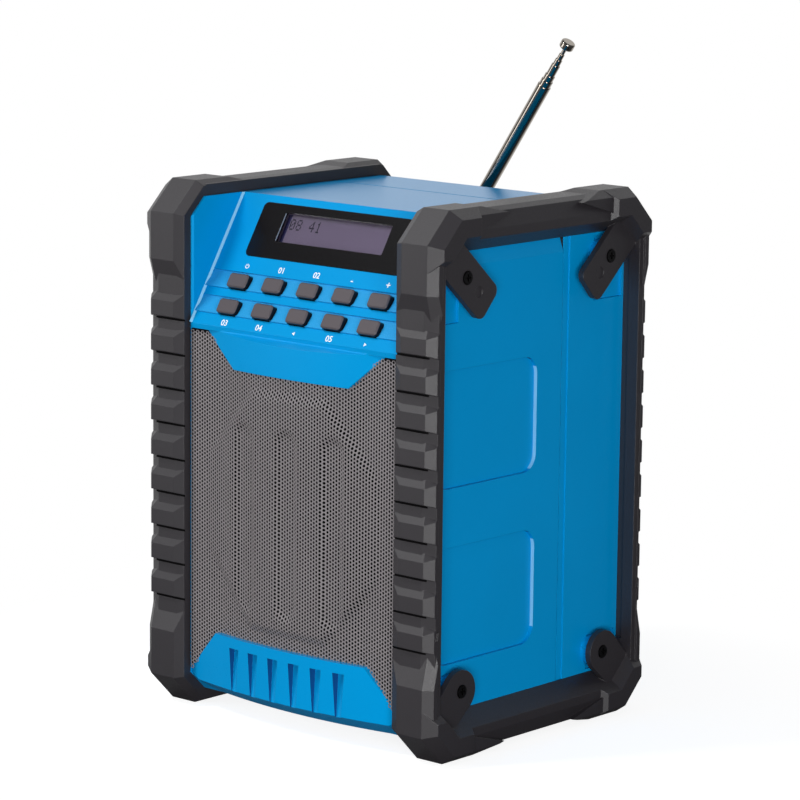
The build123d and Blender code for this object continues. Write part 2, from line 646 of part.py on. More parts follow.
with BuildPart() as rear_housing:
    slab(bodyLoop(), -bodyHalfX, bodyHalfX)
    block(-90, 90, -90, seamY + seamGap / 2, -10, 260, Mode.SUBTRACT)
    slab(bodyLoop(wall), -cavityX, cavityX, Mode.SUBTRACT)
    rearIn = bodyHalfDepth - wall
    # step beside the seam
    for side in (-1, 1):
        block(side * (bodyHalfX - 0.6), side * (bodyHalfX + 1), seamY, seamY + 4.3, -10, 260, Mode.SUBTRACT)
    # battery box
    block(-boxHalfX - 5.5, boxHalfX + 5.5, rearIn - 1.5, rearIn + 0.5, doorLowZ - 2.3, doorHighZ + 2.3)
    block(-boxHalfX - boxWall, boxHalfX + boxWall, boxFrontY - boxWall, rearIn,
          boxLowZ - boxWall, boxHighZ + boxWall)
    block(-boxHalfX, boxHalfX, boxFrontY, 90, boxLowZ, boxHighZ, Mode.SUBTRACT)
    block(-doorHalfX - gap, doorHalfX + gap, rearIn, 90, doorLowZ - gap, doorHighZ + gap, Mode.SUBTRACT)
    # hinge lugs of the battery door
    for side in (-1, 1):
        for xa, xb in ((16, 21.7), (38.3, 44)):
            slab([(bodyHalfDepth - 9.2, bodyLow + 0.4), (doorHingeY, doorHingeZ - hingeRadius),
                  (doorHingeY, doorHingeZ + hingeRadius - 0.2),
                  (bodyHalfDepth, doorHingeZ + hingeRadius - 0.2),
                  (bodyHalfDepth - 2, doorHingeZ + 1)],
                 side * xa, side * xb)
            rodX(doorHingeY, doorHingeZ, hingeRadius, side * xa, side * xb)
        rodX(doorHingeY, doorHingeZ, hingePin + fit, side * 15, side * 45, Mode.SUBTRACT)
    # socket plate
    block(portX - 21.5, portX + 21.5, rearIn - 2.5, rearIn, portLowZ - 2.5, portHighZ + 4)
    block(portX - portHalfX - gap, portX + portHalfX + gap, bodyHalfDepth - portThickness, 90,
          portLowZ - gap, portHighZ + gap, Mode.SUBTRACT)
    rodY(portX - 9, socketZ, 5.1, 50, 90, Mode.SUBTRACT)
    rodY(portX + 9, socketZ, 4.1, 50, 90, Mode.SUBTRACT)
    for xa, xb in ((portX - 18, portX - 14.3), (portX + 14.3, portX + 18)):
        block(xa, xb, bodyHalfDepth - 0.5, portHingeY, portHingeZ - 0.6, portHingeZ + portHingeRadius)
        rodX(portHingeY, portHingeZ, portHingeRadius, xa, xb)
    rodX(portHingeY, portHingeZ, portPin + fit, portX - 19, portX + 19, Mode.SUBTRACT)
    # posts for the shell screws, with deep seats for the heads
    for side in (-1, 1):
        for z in shellScrewZ:
            rodY(side * shellScrewX, z, postRadius, seamY + seamGap / 2, rearIn + 0.5)
            block(side * shellScrewX, side * (cavityX + 0.5), seamY + seamGap / 2, rearIn + 0.5,
                  z - 2.5, z + 2.5)
            rodY(side * shellScrewX, z, screwRadius + 0.2, 20, 90, Mode.SUBTRACT)
            rodY(side * shellScrewX, z, headRadius + 0.2, headSeatY, 90, Mode.SUBTRACT)
    # posts for the main board
    for x in (-56, 56):
        for z in (boardLowZ + 5, boardHighZ - 5):
            rodY(x, z, 3.2, boardY + boardThickness, rearIn + 0.5)
            rodY(x, z, 1.05, boardY - 1, boardY + 12, Mode.SUBTRACT)
    # aerial bushing hole and its two small screws
    rodY(aerialX, aerialZ, 5.1, 50, 90, Mode.SUBTRACT)
    for x in (-1, 1):
        rodY(aerialX + x * 9.5, aerialZ, 1.05, 50, 90, Mode.SUBTRACT)
    # blank rating plate recess
    block(-52, 2, bodyHalfDepth - 0.4, 90, 122, 148, Mode.SUBTRACT)
    sideFeatures(1)
save(rear_housing, "rear_housing")

with BuildPart() as housing_seal:
    half = seamGap / 2
    block(-bodyHalfX + 1.2, bodyHalfX - 1.2, seamY - half, seamY + half, bodyLow + 0.8, bodyHigh - 0.8)
    block(-cavityX, cavityX, seamY - 2, seamY + 2, bodyLow + wall, bodyHigh - wall, Mode.SUBTRACT)
save(housing_seal, "housing_seal")

with BuildPart() as housing_screws:
    for side in (-1, 1):
        for z in shellScrewZ:
            x = side * shellScrewX
            rodY(x, z, screwRadius, 6, headSeatY)
            rodY(x, z, headRadius, headSeatY, headSeatY + 2)
            block(x - 1.6, x + 1.6, headSeatY + 1, headSeatY + 3, z - 0.4, z + 0.4, Mode.SUBTRACT)
            block(x - 0.4, x + 0.4, headSeatY + 1, headSeatY + 3, z - 1.6, z + 1.6, Mode.SUBTRACT)
save(housing_screws, "housing_screws")

# ------------------------------------------------------------------
# speaker and its grille
# ------------------------------------------------------------------


def fieldPoints(inset):
    # octagonal raised field of the grille, front view
    hx = fieldHalfX - inset
    top = fieldHighZ - inset
    low = fieldLowZ + inset
    cut = fieldCutX - inset * 0.2
    mid = fieldMidX - inset * 0.8
    rise = fieldMidRise
    shoulder = fieldShoulder
    return [(-cut, top), (-mid, top - rise), (-hx, top - shoulder), (-hx, low + shoulder), (-mid, low + rise),
            (-cut, low), (cut, low), (mid, low + rise), (hx, low + shoulder), (hx, top - shoulder),
            (mid, top - rise), (cut, top)]


def openingPoints(halfX):
    return [(-halfX, openingLowZ + edgeGap), (halfX, openingLowZ + edgeGap), (halfX, noseZ - edgeGap),
            (-halfX, noseZ - edgeGap)]


def panelForm(back):
    # flat margins and an arched middle as a solid lump; back moves every face inwards
    with BuildPart(mode=Mode.PRIVATE) as lump:
        behind = baffleY + (0 if back == 0 else 1)
        frontSlab(openingPoints(panelHalfX), marginY + back, behind)
        arched(openingPoints(consoleHalfX - edgeGap), grilleY + back, behind)
    return lump.part


def grilleForm(back):
    # the panel with its raised field, which three grooves leave out
    with BuildPart(mode=Mode.PRIVATE) as lump:
        arched(fieldPoints(back), fieldY + back, baffleY + (0 if back == 0 else 1))
        for k in (-1, 0, 1):
            with BuildSketch(Plane.XZ.offset(-(fieldY - 5))) as face:
                with Locations((k * groovePitch, (grooveLowZ + grooveHighZ) / 2)):
                    SlotOverall(grooveHighZ - grooveLowZ + 2 * back, 2 * grooveHalf + 2 * back, rotation=90)
            extrude(face.sketch, amount=60, dir=(0, 1, 0), mode=Mode.SUBTRACT)
        add(panelForm(back))
    return lump.part


def panelCuts():
    # cut-outs for the apron and the pad
    g = edgeGap
    frontSlab([(-apronHighX - g - 0.4, noseZ + 1), (-apronLowX - g, apronLowZ - g),
               (apronLowX + g, apronLowZ - g), (apronHighX + g + 0.4, noseZ + 1)], -100, -40, Mode.SUBTRACT)
    sideX = ringInnerX + 1
    sideZ = padSideZ + g * 1.6 - (sideX - panelHalfX) * (padHighZ - padSideZ) / (panelHalfX - padHighX)
    frontSlab([(-padHighX - g, padHighZ + g), (-sideX, sideZ), (-sideX, 5), (sideX, 5), (sideX, sideZ),
               (padHighX + g, padHighZ + g)], -100, -40, Mode.SUBTRACT)


with BuildPart() as speaker_grille:
    add(grilleForm(0))
    add(grilleForm(grilleThickness), mode=Mode.SUBTRACT)
    panelCuts()
save(speaker_grille, "speaker_grille")

clothBack = grilleThickness + clothGap
with BuildPart() as dust_cloth:
    add(panelForm(clothBack))
    add(panelForm(clothBack + clothThickness), mode=Mode.SUBTRACT)
    panelCuts()
save(dust_cloth, "dust_cloth")

seatY = baffleY + wall
with BuildPart() as speaker_gasket:
    spun([(speakerHole, seatY), (speakerRim - 0.5, seatY), (speakerRim - 0.5, seatY + 1.5),
          (speakerHole, seatY + 1.5)])
save(speaker_gasket, "speaker_gasket")

rimY = seatY + 1.5
with BuildPart() as speaker_basket:
    # rim, bowl and back plate
    spun([(44.9, rimY), (speakerRim, rimY), (speakerRim, rimY + 1.2), (speakerHole, rimY + 1.2),
          (33, rimY + 22), (33, rimY + 25), (14.4, rimY + 25), (14.4, rimY + 23.8), (31.8, rimY + 23.8),
          (31.8, rimY + 21.8), (44.9, rimY + 1.0)])
    for k in range(4):
        a = math.radians(45 + 90 * k)
        x = lugCircle * math.cos(a)
        z = speakerZ + lugCircle * math.sin(a)
        rodY(x, z, 4.6, rimY, rimY + 1.2)
        rodY(x, z, screwRadius + 0.2, rimY - 1, rimY + 3, Mode.SUBTRACT)
    # four openings in the bowl
    for k in range(4):
        with Locations(Location((0, rimY + 12, speakerZ), (0, 90 * k, 0))):
            with Locations((0, 0, 38)):
                Box(34, 13, 30, mode=Mode.SUBTRACT)
save(speaker_basket, "speaker_basket")

with BuildPart() as speaker_magnet:
    # ring, back plate and centre pole with the coil gap between
    spun([(0, rimY + 26), (11.8, rimY + 26), (11.8, rimY + 35), (14.2, rimY + 35), (14.2, rimY + 25),
          (30, rimY + 25), (30, rimY + 37), (0, rimY + 37)])
    chamfer(speaker_magnet.edges().filter_by(GeomType.CIRCLE).sort_by(Axis.Y)[-1], 0.8)
save(speaker_magnet, "speaker_magnet")

with BuildPart() as speaker_cone:
    spun([(14, rimY + 17.5), (38.85, rimY + 0.6), (38.85, rimY + 1.4), (14, rimY + 18.3), (13.2, rimY + 18.3),
          (13.2, rimY + 29), (12.6, rimY + 29), (12.6, rimY + 17.5)])
save(speaker_cone, "speaker_cone")

with BuildPart() as speaker_surround:
    # half-round roll between cone and rim
    roll = []
    for k in range(13):
        a = math.pi * k / 12
        roll.append((41.87 - 3.0 * math.cos(a), rimY + 0.9 - 3.0 * math.sin(a)))
    for k in range(12, -1, -1):
        a = math.pi * k / 12
        roll.append((41.87 - 2.4 * math.cos(a), rimY + 0.9 - 2.4 * math.sin(a)))
    spun(roll)
save(speaker_surround, "speaker_surround")

with BuildPart() as dust_cap:
    dome = []
    for k in range(9):
        a = math.radians(90 * k / 8)
        dome.append((13.9 * math.sin(a), rimY + 17.3 - 4.0 * math.cos(a)))
    for k in range(8, -1, -1):
        a = math.radians(90 * k / 8)
        dome.append((13.2 * math.sin(a), rimY + 17.3 - 3.4 * math.cos(a)))
    spun(dome)
save(dust_cap, "dust_cap")

with BuildPart() as speaker_screws:
    for k in range(4):
        a = math.radians(45 + 90 * k)
        x = lugCircle * math.cos(a)
        z = speakerZ + lugCircle * math.sin(a)
        rodY(x, z, screwRadius, seatY + 0.1, rimY + 1.2)
        rodY(x, z, headRadius, rimY + 1.2, rimY + 3.2)
        block(x - 1.7, x + 1.7, rimY + 2.3, rimY + 4, z - 0.4, z + 0.4, Mode.SUBTRACT)
save(speaker_screws, "speaker_screws")

# ------------------------------------------------------------------
# display
# ------------------------------------------------------------------
bezelMid = (bezelLowV + bezelHighV) / 2
bezelHigh = bezelHighV - bezelLowV
windowMid = (windowLowV + windowHighV) / 2
windowHigh = windowHighV - windowLowV

with BuildPart() as display_bezel:
    slopeTile(0, bezelMid, bezelHalfX * 2, bezelHigh, 2.5, -bezelSeat, bezelProud)
    slopeTile(0, windowMid, windowHalfX * 2, windowHigh, 0.6, -bezelSeat - 1, 1, Mode.SUBTRACT)
    # rim behind, standing through the console plate
    slopeTile(0, bezelMid, bezelHalfX * 2 - 6.6, bezelHigh - 3.6, 1.8, -slopeWall - 0.6, -bezelSeat)
    slopeTile(0, windowMid, windowHalfX * 2 + 7, windowHigh + 3.4, 1.2, -slopeWall - 1, -bezelSeat,
              Mode.SUBTRACT)
save(display_bezel, "display_bezel")

with BuildPart() as display_lens:
    slopeTile(0, windowMid, windowHalfX * 2 + 6, windowHigh + 2.4, 1.0, -2.4, -bezelSeat)
save(display_lens, "display_lens")

with BuildPart() as lcd_glass:
    slopeTile(0, windowMid, windowHalfX * 2 + 5, windowHigh + 2.0, 0.5, -4.2, -2.5)
save(lcd_glass, "lcd_glass")

with BuildPart() as lcd_board:
    slopeTile(0, bezelMid - 0.6, 82, 30, 0.8, -6.4, -4.8)
    slopeTile(0, windowMid, windowHalfX * 2 + 3, windowHigh + 1.6, 0.5, -4.8, -4.2)
    for x in range(8):
        slopeTile(-17.5 + x * 5, bezelMid - 13.2, 2.4, 1.6, 0.2, -8.0, -6.4)
save(lcd_board, "lcd_board")

# ------------------------------------------------------------------
# buttons and the board under them
# ------------------------------------------------------------------
normal = Axis((0, 0, 0), (0, outY, outZ))
number = 0
for v in (rowUpperV, rowLowerV):
    for k in range(5):
        number += 1
        with BuildPart() as button:
            x = (k - 2) * buttonPitch
            slopeTile(x, v, buttonWidth, buttonHeight, buttonRound, -3.8, buttonProud)
            chamfer(button.faces().sort_by(normal)[-1].edges(), buttonBevel)
            # flange that keeps the cap in, and the foot over the switch
            slopeTile(x, v, buttonWidth + 1.8, buttonHeight + 1.8, buttonRound, -4.6, -3.7)
            slopeTile(x, v, 3.0, 3.0, 1.2, -6.2, -4.6)
        save(button, "button_" + str(number))

with BuildPart() as key_board:
    slopeTile(0, 12.5, 120, 29, 1.0, -11.0, -9.45)
    for x in (-57, 57):
        for v in (0.5, 24.5):
            slopeTile(x, v, 2.4, 2.4, 1.1, -12, -9, Mode.SUBTRACT)
save(key_board, "key_board")

with BuildPart() as key_switches:
    for v in (rowUpperV, rowLowerV):
        for k in range(5):
            slopeTile((k - 2) * buttonPitch, v, 6, 6, 0.5, -9.45, -7.8)
            slopeTile((k - 2) * buttonPitch, v, 3, 3, 1.4, -7.8, -6.35 - buttonTravel)
save(key_switches, "key_switches")

# ------------------------------------------------------------------
# main board
# ------------------------------------------------------------------
with BuildPart() as main_board:
    block(-62, 62, boardY, boardY + boardThickness, boardLowZ, boardHighZ)
    for x in (-56, 56):
        for z in (boardLowZ + 5, boardHighZ - 5):
            rodY(x, z, 1.3, boardY - 1, boardY + 4, Mode.SUBTRACT)
save(main_board, "main_board")

with BuildPart() as board_parts:
    for x, z, w, h, t in ((-18, 178, 18, 18, 2.0), (14, 182, 12, 9, 1.8), (30, 168, 9, 9, 1.6),
                          (-40, 146, 24, 14, 9.0), (4, 150, 14, 10, 4.0), (40, 188, 16, 8, 6.0)):
        block(x - w / 2, x + w / 2, boardY - t, boardY, z - h / 2, z + h / 2)
    for x, z, r, t in ((22, 140, 5, 14), (34, 140, 5, 14), (46, 150, 4, 11), (-14, 138, 4, 11),
                       (-4, 138, 3.2, 8)):
        rodY(x, z, r, boardY - t, boardY)
save(board_parts, "board_parts")

with BuildPart() as tuner_can:
    block(-54, -32, boardY - 7, boardY, 166, 190)
    block(-53.6, -32.4, boardY - 6.6, boardY + 1, 166.4, 189.6, Mode.SUBTRACT)
save(tuner_can, "tuner_can")

with BuildPart() as board_screws:
    for x in (-56, 56):
        for z in (boardLowZ + 5, boardHighZ - 5):
            rodY(x, z, 1.0, boardY, boardY + 9)
            rodY(x, z, 2.4, boardY - 1.6, boardY)
            block(x - 1.4, x + 1.4, boardY - 3, boardY - 0.9, z - 0.3, z + 0.3, Mode.SUBTRACT)
save(board_screws, "board_screws")

# ------------------------------------------------------------------
# batteries and door
# ------------------------------------------------------------------
cellMid = (boxLowZ + boxHighZ) / 2
with BuildPart() as battery_cells:
    for row in (-1, 0, 1):
        for side in (-1, 1):
            z = cellMid + row * cellPitch
            rodX(cellY, z, cellRadius, side * 0.6, side * (0.6 + cellLength))
            rodX(cellY, z, 4.0, side * (0.6 + cellLength), side * (2.6 + cellLength))
save(battery_cells, "battery_cells")

with BuildPart() as battery_contacts:
    for row in (-1, 0, 1):
        z = cellMid + row * cellPitch
        for side in (-1, 1):
            block(side * 53.5, side * boxHalfX, cellY - 8, cellY + 8, z - 8, z + 8)
            # contact spring as three closed turns
            for turn in range(3):
                with BuildSketch(Plane.XY.offset(z)) as face:
                    with Locations((side * (50.6 + turn * 1.1), cellY + 3.2 + turn * 1.1)):
                        Circle(0.45)
                revolve(face.sketch, axis=Axis((0, cellY, z), (1, 0, 0)))
            block(side * 50.2, side * 53.6, cellY - 0.5, cellY + 0.5, z + 3.0, z + 5.8)
save(battery_contacts, "battery_contacts")

doorIn = bodyHalfDepth - wall
with BuildPart() as battery_door:
    block(-doorHalfX, doorHalfX, doorIn, bodyHalfDepth, doorLowZ, doorHighZ)
    # shallow ribs behind, finger notch at the top
    for z in (40, 63.5, 87):
        block(-48, 48, doorIn - 0.7, doorIn, z - 0.8, z + 0.8)
    block(-11, 11, bodyHalfDepth - 1.2, 90, doorHighZ - 5, doorHighZ + 1, Mode.SUBTRACT)
    for z in range(5):
        block(-30, 30, bodyHalfDepth - 0.6, 90, 45 + z * 7, 48 + z * 7, Mode.SUBTRACT)
    for side in (-1, 1):
        block(side * 22, side * 38, bodyHalfDepth, doorHingeY + 0.9, doorHingeZ, doorLowZ + 4)
        rodX(doorHingeY, doorHingeZ, hingeRadius, side * 22, side * 38)
        rodX(doorHingeY, doorHingeZ, hingePin + fit, side * 20, side * 40, Mode.SUBTRACT)
save(battery_door, "battery_door")

with BuildPart() as door_pins:
    for side in (-1, 1):
        rodX(doorHingeY, doorHingeZ, hingePin, side * 16, side * 44)
save(door_pins, "door_pins")

# ------------------------------------------------------------------
# sockets and their cover
# ------------------------------------------------------------------
socketOut = bodyHalfDepth - portThickness - 0.3
with BuildPart() as power_socket:
    rodY(portX - 9, socketZ, 4.8, socketOut - 15.4, socketOut)
    block(portX - 15.5, portX - 2.5, socketOut - 19.4, socketOut - 3.9, socketZ - 6.5, socketZ + 6.5)
    rodY(portX - 9, socketZ, 3.0, socketOut - 9, socketOut + 1, Mode.SUBTRACT)
    rodY(portX - 9, socketZ, 1.0, socketOut - 9.5, socketOut - 1.5)
save(power_socket, "power_socket")

with BuildPart() as audio_socket:
    rodY(portX + 9, socketZ, 3.8, socketOut - 13.4, socketOut)
    block(portX + 4, portX + 14, socketOut - 17.4, socketOut - 3.9, socketZ - 5, socketZ + 5)
    rodY(portX + 9, socketZ, 1.8, socketOut - 12, socketOut + 1, Mode.SUBTRACT)
save(audio_socket, "audio_socket")

with BuildPart() as port_cover:
    block(portX - portHalfX, portX + portHalfX, bodyHalfDepth - portThickness, bodyHalfDepth,
          portLowZ, portHighZ)
    slab([(bodyHalfDepth - 0.2, portHighZ - 2), (portHingeY + 0.9, portHighZ), (portHingeY + 1.0, portHingeZ),
          (bodyHalfDepth + 0.5, portHingeZ), (bodyHalfDepth + 0.4, portHighZ),
          (bodyHalfDepth - 0.2, portHighZ)],
         portX - 14, portX + 14)
    rodX(portHingeY, portHingeZ, portHingeRadius, portX - 14, portX + 14)
    rodX(portHingeY, portHingeZ, portPin + fit, portX - 15, portX + 15, Mode.SUBTRACT)
    # finger rib along the free edge
    block(portX - 8, portX + 8, bodyHalfDepth - 0.2, bodyHalfDepth + 1.0, portLowZ + 1, portLowZ + 2.6)
save(port_cover, "port_cover")

with BuildPart() as port_pin:
    rodX(portHingeY, portHingeZ, portPin, portX - 18, portX + 18)
save(port_pin, "port_pin")

# ------------------------------------------------------------------
# aerial
# ------------------------------------------------------------------
leanAngle = math.radians(aerialLean)
pinX = math.cos(leanAngle)
pinZ = -math.sin(leanAngle)
alongX = math.sin(leanAngle)
alongZ = math.cos(leanAngle)
aerialPlane = Plane(origin=(aerialX, aerialY, aerialZ), x_dir=(pinX, 0, pinZ), z_dir=(alongX, 0, alongZ))
plateY = bodyHalfDepth + 1.0
diskY = plateY + 0.05
forkY = diskY + 1.05
bushIn = bodyHalfDepth - 5.0      # inner end of the bushing

with BuildPart() as aerial_base:
    with BuildSketch(Plane.XZ.offset(-bodyHalfDepth)) as face:
        with Locations((aerialX, aerialZ)):
            RectangleRounded(25, 17, 4)
    extrude(face.sketch, amount=1.0, dir=(0, 1, 0))
    rodY(aerialX, aerialZ, 5.0, bushIn, bodyHalfDepth)
    rodY(aerialX, aerialZ, 3.0 + fit, 50, 90, Mode.SUBTRACT)
    for x in (-1, 1):
        rodY(aerialX + x * 9.5, aerialZ, 1.2, 50, 90, Mode.SUBTRACT)
save(aerial_base, "aerial_base")

with BuildPart() as base_screws:
    for x in (-1, 1):
        rodY(aerialX + x * 9.5, aerialZ, 1.0, bushIn - 0.2, plateY)
        rodY(aerialX + x * 9.5, aerialZ, 1.9, plateY, plateY + 0.6)
save(base_screws, "base_screws")

with BuildPart() as aerial_swivel:
    rodY(aerialX, aerialZ, 6.8, diskY, forkY)
    rodY(aerialX, aerialZ, 3.0, bushIn, diskY)
    rodY(aerialX, aerialZ, 1.05, 50, bushIn + 4.8, Mode.SUBTRACT)
    with Locations(aerialPlane):
        for side in (-1, 1):
            with Locations((side * 4.1, (forkY - aerialY) / 2, 0)):
                Box(2.0, aerialY - forkY, forkRound * 2)
            with Locations(Location((side * 4.1, 0, 0), (0, 90, 0))):
                Cylinder(forkRound, 2.0)
        with Locations(Location((0, 0, 0), (0, 90, 0))):
            Cylinder(1.05, 20, mode=Mode.SUBTRACT)
save(aerial_swivel, "aerial_swivel")

with BuildPart() as swivel_screw:
    rodY(aerialX, aerialZ, 1.0, bushIn - 1.6, bushIn + 4.3)
    rodY(aerialX, aerialZ, 4.6, bushIn - 1.6, bushIn - 0.1)
    block(aerialX - 2, aerialX + 2, 50, bushIn - 0.9, aerialZ - 0.5, aerialZ + 0.5, Mode.SUBTRACT)
save(swivel_screw, "swivel_screw")

with BuildPart() as aerial_pin:
    with Locations(aerialPlane):
        with Locations(Location((0, 0, 0), (0, 90, 0))):
            Cylinder(1.0, 10.2)
save(aerial_pin, "aerial_pin")

with BuildPart() as aerial_knuckle:
    with Locations(aerialPlane):
        with Locations(Location((0, 0, 0), (0, 90, 0))):
            Cylinder(forkRound - 0.1, knuckleHalf * 2)
        with Locations((0, 0, tubeStart / 2)):
            Box(knuckleHalf * 2, (forkRound - 0.1) * 2, tubeStart)
        with Locations((0, 0, tubeStart - 0.5)):
            Cylinder(mainRadius, 1.0)
        with Locations((0, 0, tubeStart + 1.0)):
            Cylinder(mainRadius - 0.4, 2.0)
        with Locations(Location((0, 0, 0), (0, 90, 0))):
            Cylinder(1.0 + fit, 20, mode=Mode.SUBTRACT)
save(aerial_knuckle, "aerial_knuckle")


def tubePart(radius, inner, low, high):
    # open tube along the aerial, eased at its upper rim
    with Locations(aerialPlane):
        with Locations((0, 0, (low + high) / 2)):
            Cylinder(radius, high - low)
        with Locations((0, 0, (low + high) / 2)):
            Cylinder(inner, high - low + 2, mode=Mode.SUBTRACT)


with BuildPart() as aerial_tube:
    tubePart(mainRadius, mainRadius - stepRadius + fit, tubeStart, mainEnd)
save(aerial_tube, "aerial_tube")

for k in range(5):
    outer = mainRadius - stepRadius * (k + 1)
    with BuildPart() as section:
        tubePart(outer, outer - stepRadius + fit, tubeStart + 2.4 + 0.3 * k, sectionEnds[k])
    save(section, "aerial_section_" + str(k + 1))

with BuildPart() as aerial_rod:
    low = tubeStart + 4.5
    with Locations(aerialPlane):
        with Locations((0, 0, (low + tipStart + 1.5) / 2)):
            Cylinder(mainRadius - stepRadius * 6, tipStart + 1.5 - low)
save(aerial_rod, "aerial_rod")

with BuildPart() as aerial_tip:
    with Locations(aerialPlane):
        with Locations((0, 0, tipStart + tipLength / 2)):
            Cylinder(tipRadius, tipLength)
    fillet(aerial_tip.edges().filter_by(GeomType.CIRCLE), 0.9)
    with Locations(aerialPlane):
        with Locations((0, 0, tipStart)):
            Cylinder(mainRadius - stepRadius * 6, 3.0, mode=Mode.SUBTRACT)
save(aerial_tip, "aerial_tip")
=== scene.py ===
import bpy
import json
import math
import numpy as np
from mathutils import Matrix, Vector


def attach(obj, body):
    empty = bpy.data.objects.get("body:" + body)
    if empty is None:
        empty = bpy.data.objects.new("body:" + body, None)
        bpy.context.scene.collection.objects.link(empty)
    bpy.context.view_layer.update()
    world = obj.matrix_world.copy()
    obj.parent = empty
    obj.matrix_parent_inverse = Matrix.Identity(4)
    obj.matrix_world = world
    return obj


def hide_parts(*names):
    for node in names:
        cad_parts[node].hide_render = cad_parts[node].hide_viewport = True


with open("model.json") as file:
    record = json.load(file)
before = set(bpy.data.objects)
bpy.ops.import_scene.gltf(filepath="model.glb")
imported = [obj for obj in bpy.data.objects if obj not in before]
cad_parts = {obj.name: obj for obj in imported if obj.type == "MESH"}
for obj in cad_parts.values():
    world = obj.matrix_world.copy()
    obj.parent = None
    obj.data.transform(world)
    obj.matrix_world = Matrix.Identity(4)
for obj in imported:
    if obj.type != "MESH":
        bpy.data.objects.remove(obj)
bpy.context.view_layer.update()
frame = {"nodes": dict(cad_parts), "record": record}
nodes = frame["nodes"]
print("frame loaded:", len(nodes), "nodes")

mm = 0.001

# the console slope, the arched front and the keys, as the CAD has them, in millimetres and degrees
place = {
    "slopeY": -70.4, "slopeZ": 188.3, "slopeAngle": 31.35,
    "archRadius": 291.0, "grilleY": -74.9, "fieldY": -76.7, "marginY": -71.6,
    "keyPitch": 21.8, "keyCount": 10, "bandTilt": 9.46,
}
slopeRise = math.radians(place["slopeAngle"])
bandRise = math.radians(place["slopeAngle"] + place["bandTilt"])


def hexColour(text):
    # sRGB hex to linear: c/12.92 below 0.04045, else ((c + 0.055)/1.055)^2.4
    c = np.array([int(text[i:i + 2], 16) for i in (1, 3, 5)]) / 255
    linear = np.where(c <= 0.04045, c / 12.92, ((c + 0.055) / 1.055) ** 2.4)
    return (*linear.tolist(), 1.0)


def addNode(tree, kind, settings=None, **links):
    # adds one node; a link value is a (node, output) pair or a plain constant, and i3 means input number 3
    node = tree.nodes.new(kind)
    for key, value in (settings or {}).items():
        setattr(node, key, value)
    for name, value in links.items():
        numbered = name[0] == "i" and name[1:].isdigit()
        socket = node.inputs[int(name[1:]) if numbered else name]
        if isinstance(value, tuple) and len(value) == 2 and hasattr(value[0], "outputs"):
            tree.links.new(value[0].outputs[value[1]], socket)
        else:
            socket.default_value = value
    return node


def newMaterial(name):
    # a material with one plain shader, wired to its output
    material = bpy.data.materials.new(name)
    material.use_nodes = True
    tree = material.node_tree
    tree.nodes.clear()
    shader = tree.nodes.new("ShaderNodeBsdfPrincipled")
    output = tree.nodes.new("ShaderNodeOutputMaterial")
    tree.links.new(shader.outputs["BSDF"], output.inputs["Surface"])
    return material, tree, shader


noiseLow, noiseHigh = 0.3, 0.7      # most of a noise texture's values lie between these
driftScale = 22.0                   # patches of colour about 45 mm across
metalDepth = 0.02                   # millimetres, the grain in metal
plasticIor = 1.5


def moulded(name, colour, spec):
    # moulded plastic, rubber, paint or cloth: faint colour drift, fine grain in the bump, edges eased by a
    # small radius; grain, edge and depth are in millimetres
    material, tree, shader = newMaterial(name)
    where = addNode(tree, "ShaderNodeTexCoord")
    drift = addNode(tree, "ShaderNodeTexNoise", Vector=(where, "Object"), Scale=driftScale, Detail=3.0)
    tone = addNode(tree, "ShaderNodeMapRange", i0=(drift, "Fac"), i1=noiseLow, i2=noiseHigh,
                   i3=1 - spec["drift"], i4=1 + spec["drift"])
    mix = addNode(tree, "ShaderNodeMix", {"data_type": "RGBA", "blend_type": "MULTIPLY"},
                  i0=1.0, i6=hexColour(colour), i7=(tone, 0))
    tree.links.new(mix.outputs[2], shader.inputs["Base Color"])
    grain = addNode(tree, "ShaderNodeTexNoise", Vector=(where, "Object"), Scale=1 / (spec["grain"] * mm),
                    Detail=2.0)
    rough = addNode(tree, "ShaderNodeMapRange", i0=(grain, "Fac"), i1=noiseLow, i2=noiseHigh,
                    i3=spec["rough"] - spec["roughVary"], i4=spec["rough"] + spec["roughVary"])
    tree.links.new(rough.outputs[0], shader.inputs["Roughness"])
    edge = addNode(tree, "ShaderNodeBevel", {"samples": 4}, Radius=spec["edge"] * mm)
    bump = addNode(tree, "ShaderNodeBump", Strength=spec["bump"], Distance=spec["depth"] * mm,
                   Height=(grain, "Fac"), Normal=(edge, "Normal"))
    tree.links.new(bump.outputs["Normal"], shader.inputs["Normal"])
    shader.inputs["IOR"].default_value = plasticIor
    shader.inputs["Specular IOR Level"].default_value = spec.get("specular", 0.5)
    if "tint" in spec:
        shader.inputs["Specular Tint"].default_value = hexColour(spec["tint"])
    return material


def metal(name, colour, spec):
    # plated or drawn metal: a fine grain in the roughness and the bump, which becomes lines where stretch is
    # uneven; line is the grain's size in millimetres
    material, tree, shader = newMaterial(name)
    where = addNode(tree, "ShaderNodeTexCoord")
    stretch = addNode(tree, "ShaderNodeMapping", Vector=(where, "Object"), Scale=spec["stretch"])
    lines = addNode(tree, "ShaderNodeTexNoise", Vector=(stretch, "Vector"), Scale=1 / (spec["line"] * mm),
                    Detail=3.0)
    rough = addNode(tree, "ShaderNodeMapRange", i0=(lines, "Fac"), i1=noiseLow, i2=noiseHigh,
                    i3=spec["rough"] - spec["roughVary"], i4=spec["rough"] + spec["roughVary"])
    tree.links.new(rough.outputs[0], shader.inputs["Roughness"])
    bump = addNode(tree, "ShaderNodeBump", Strength=spec["bump"], Distance=metalDepth * mm,
                   Height=(lines, "Fac"))
    tree.links.new(bump.outputs["Normal"], shader.inputs["Normal"])
    shader.inputs["Base Color"].default_value = hexColour(colour)
    shader.inputs["Metallic"].default_value = 1.0
    return material


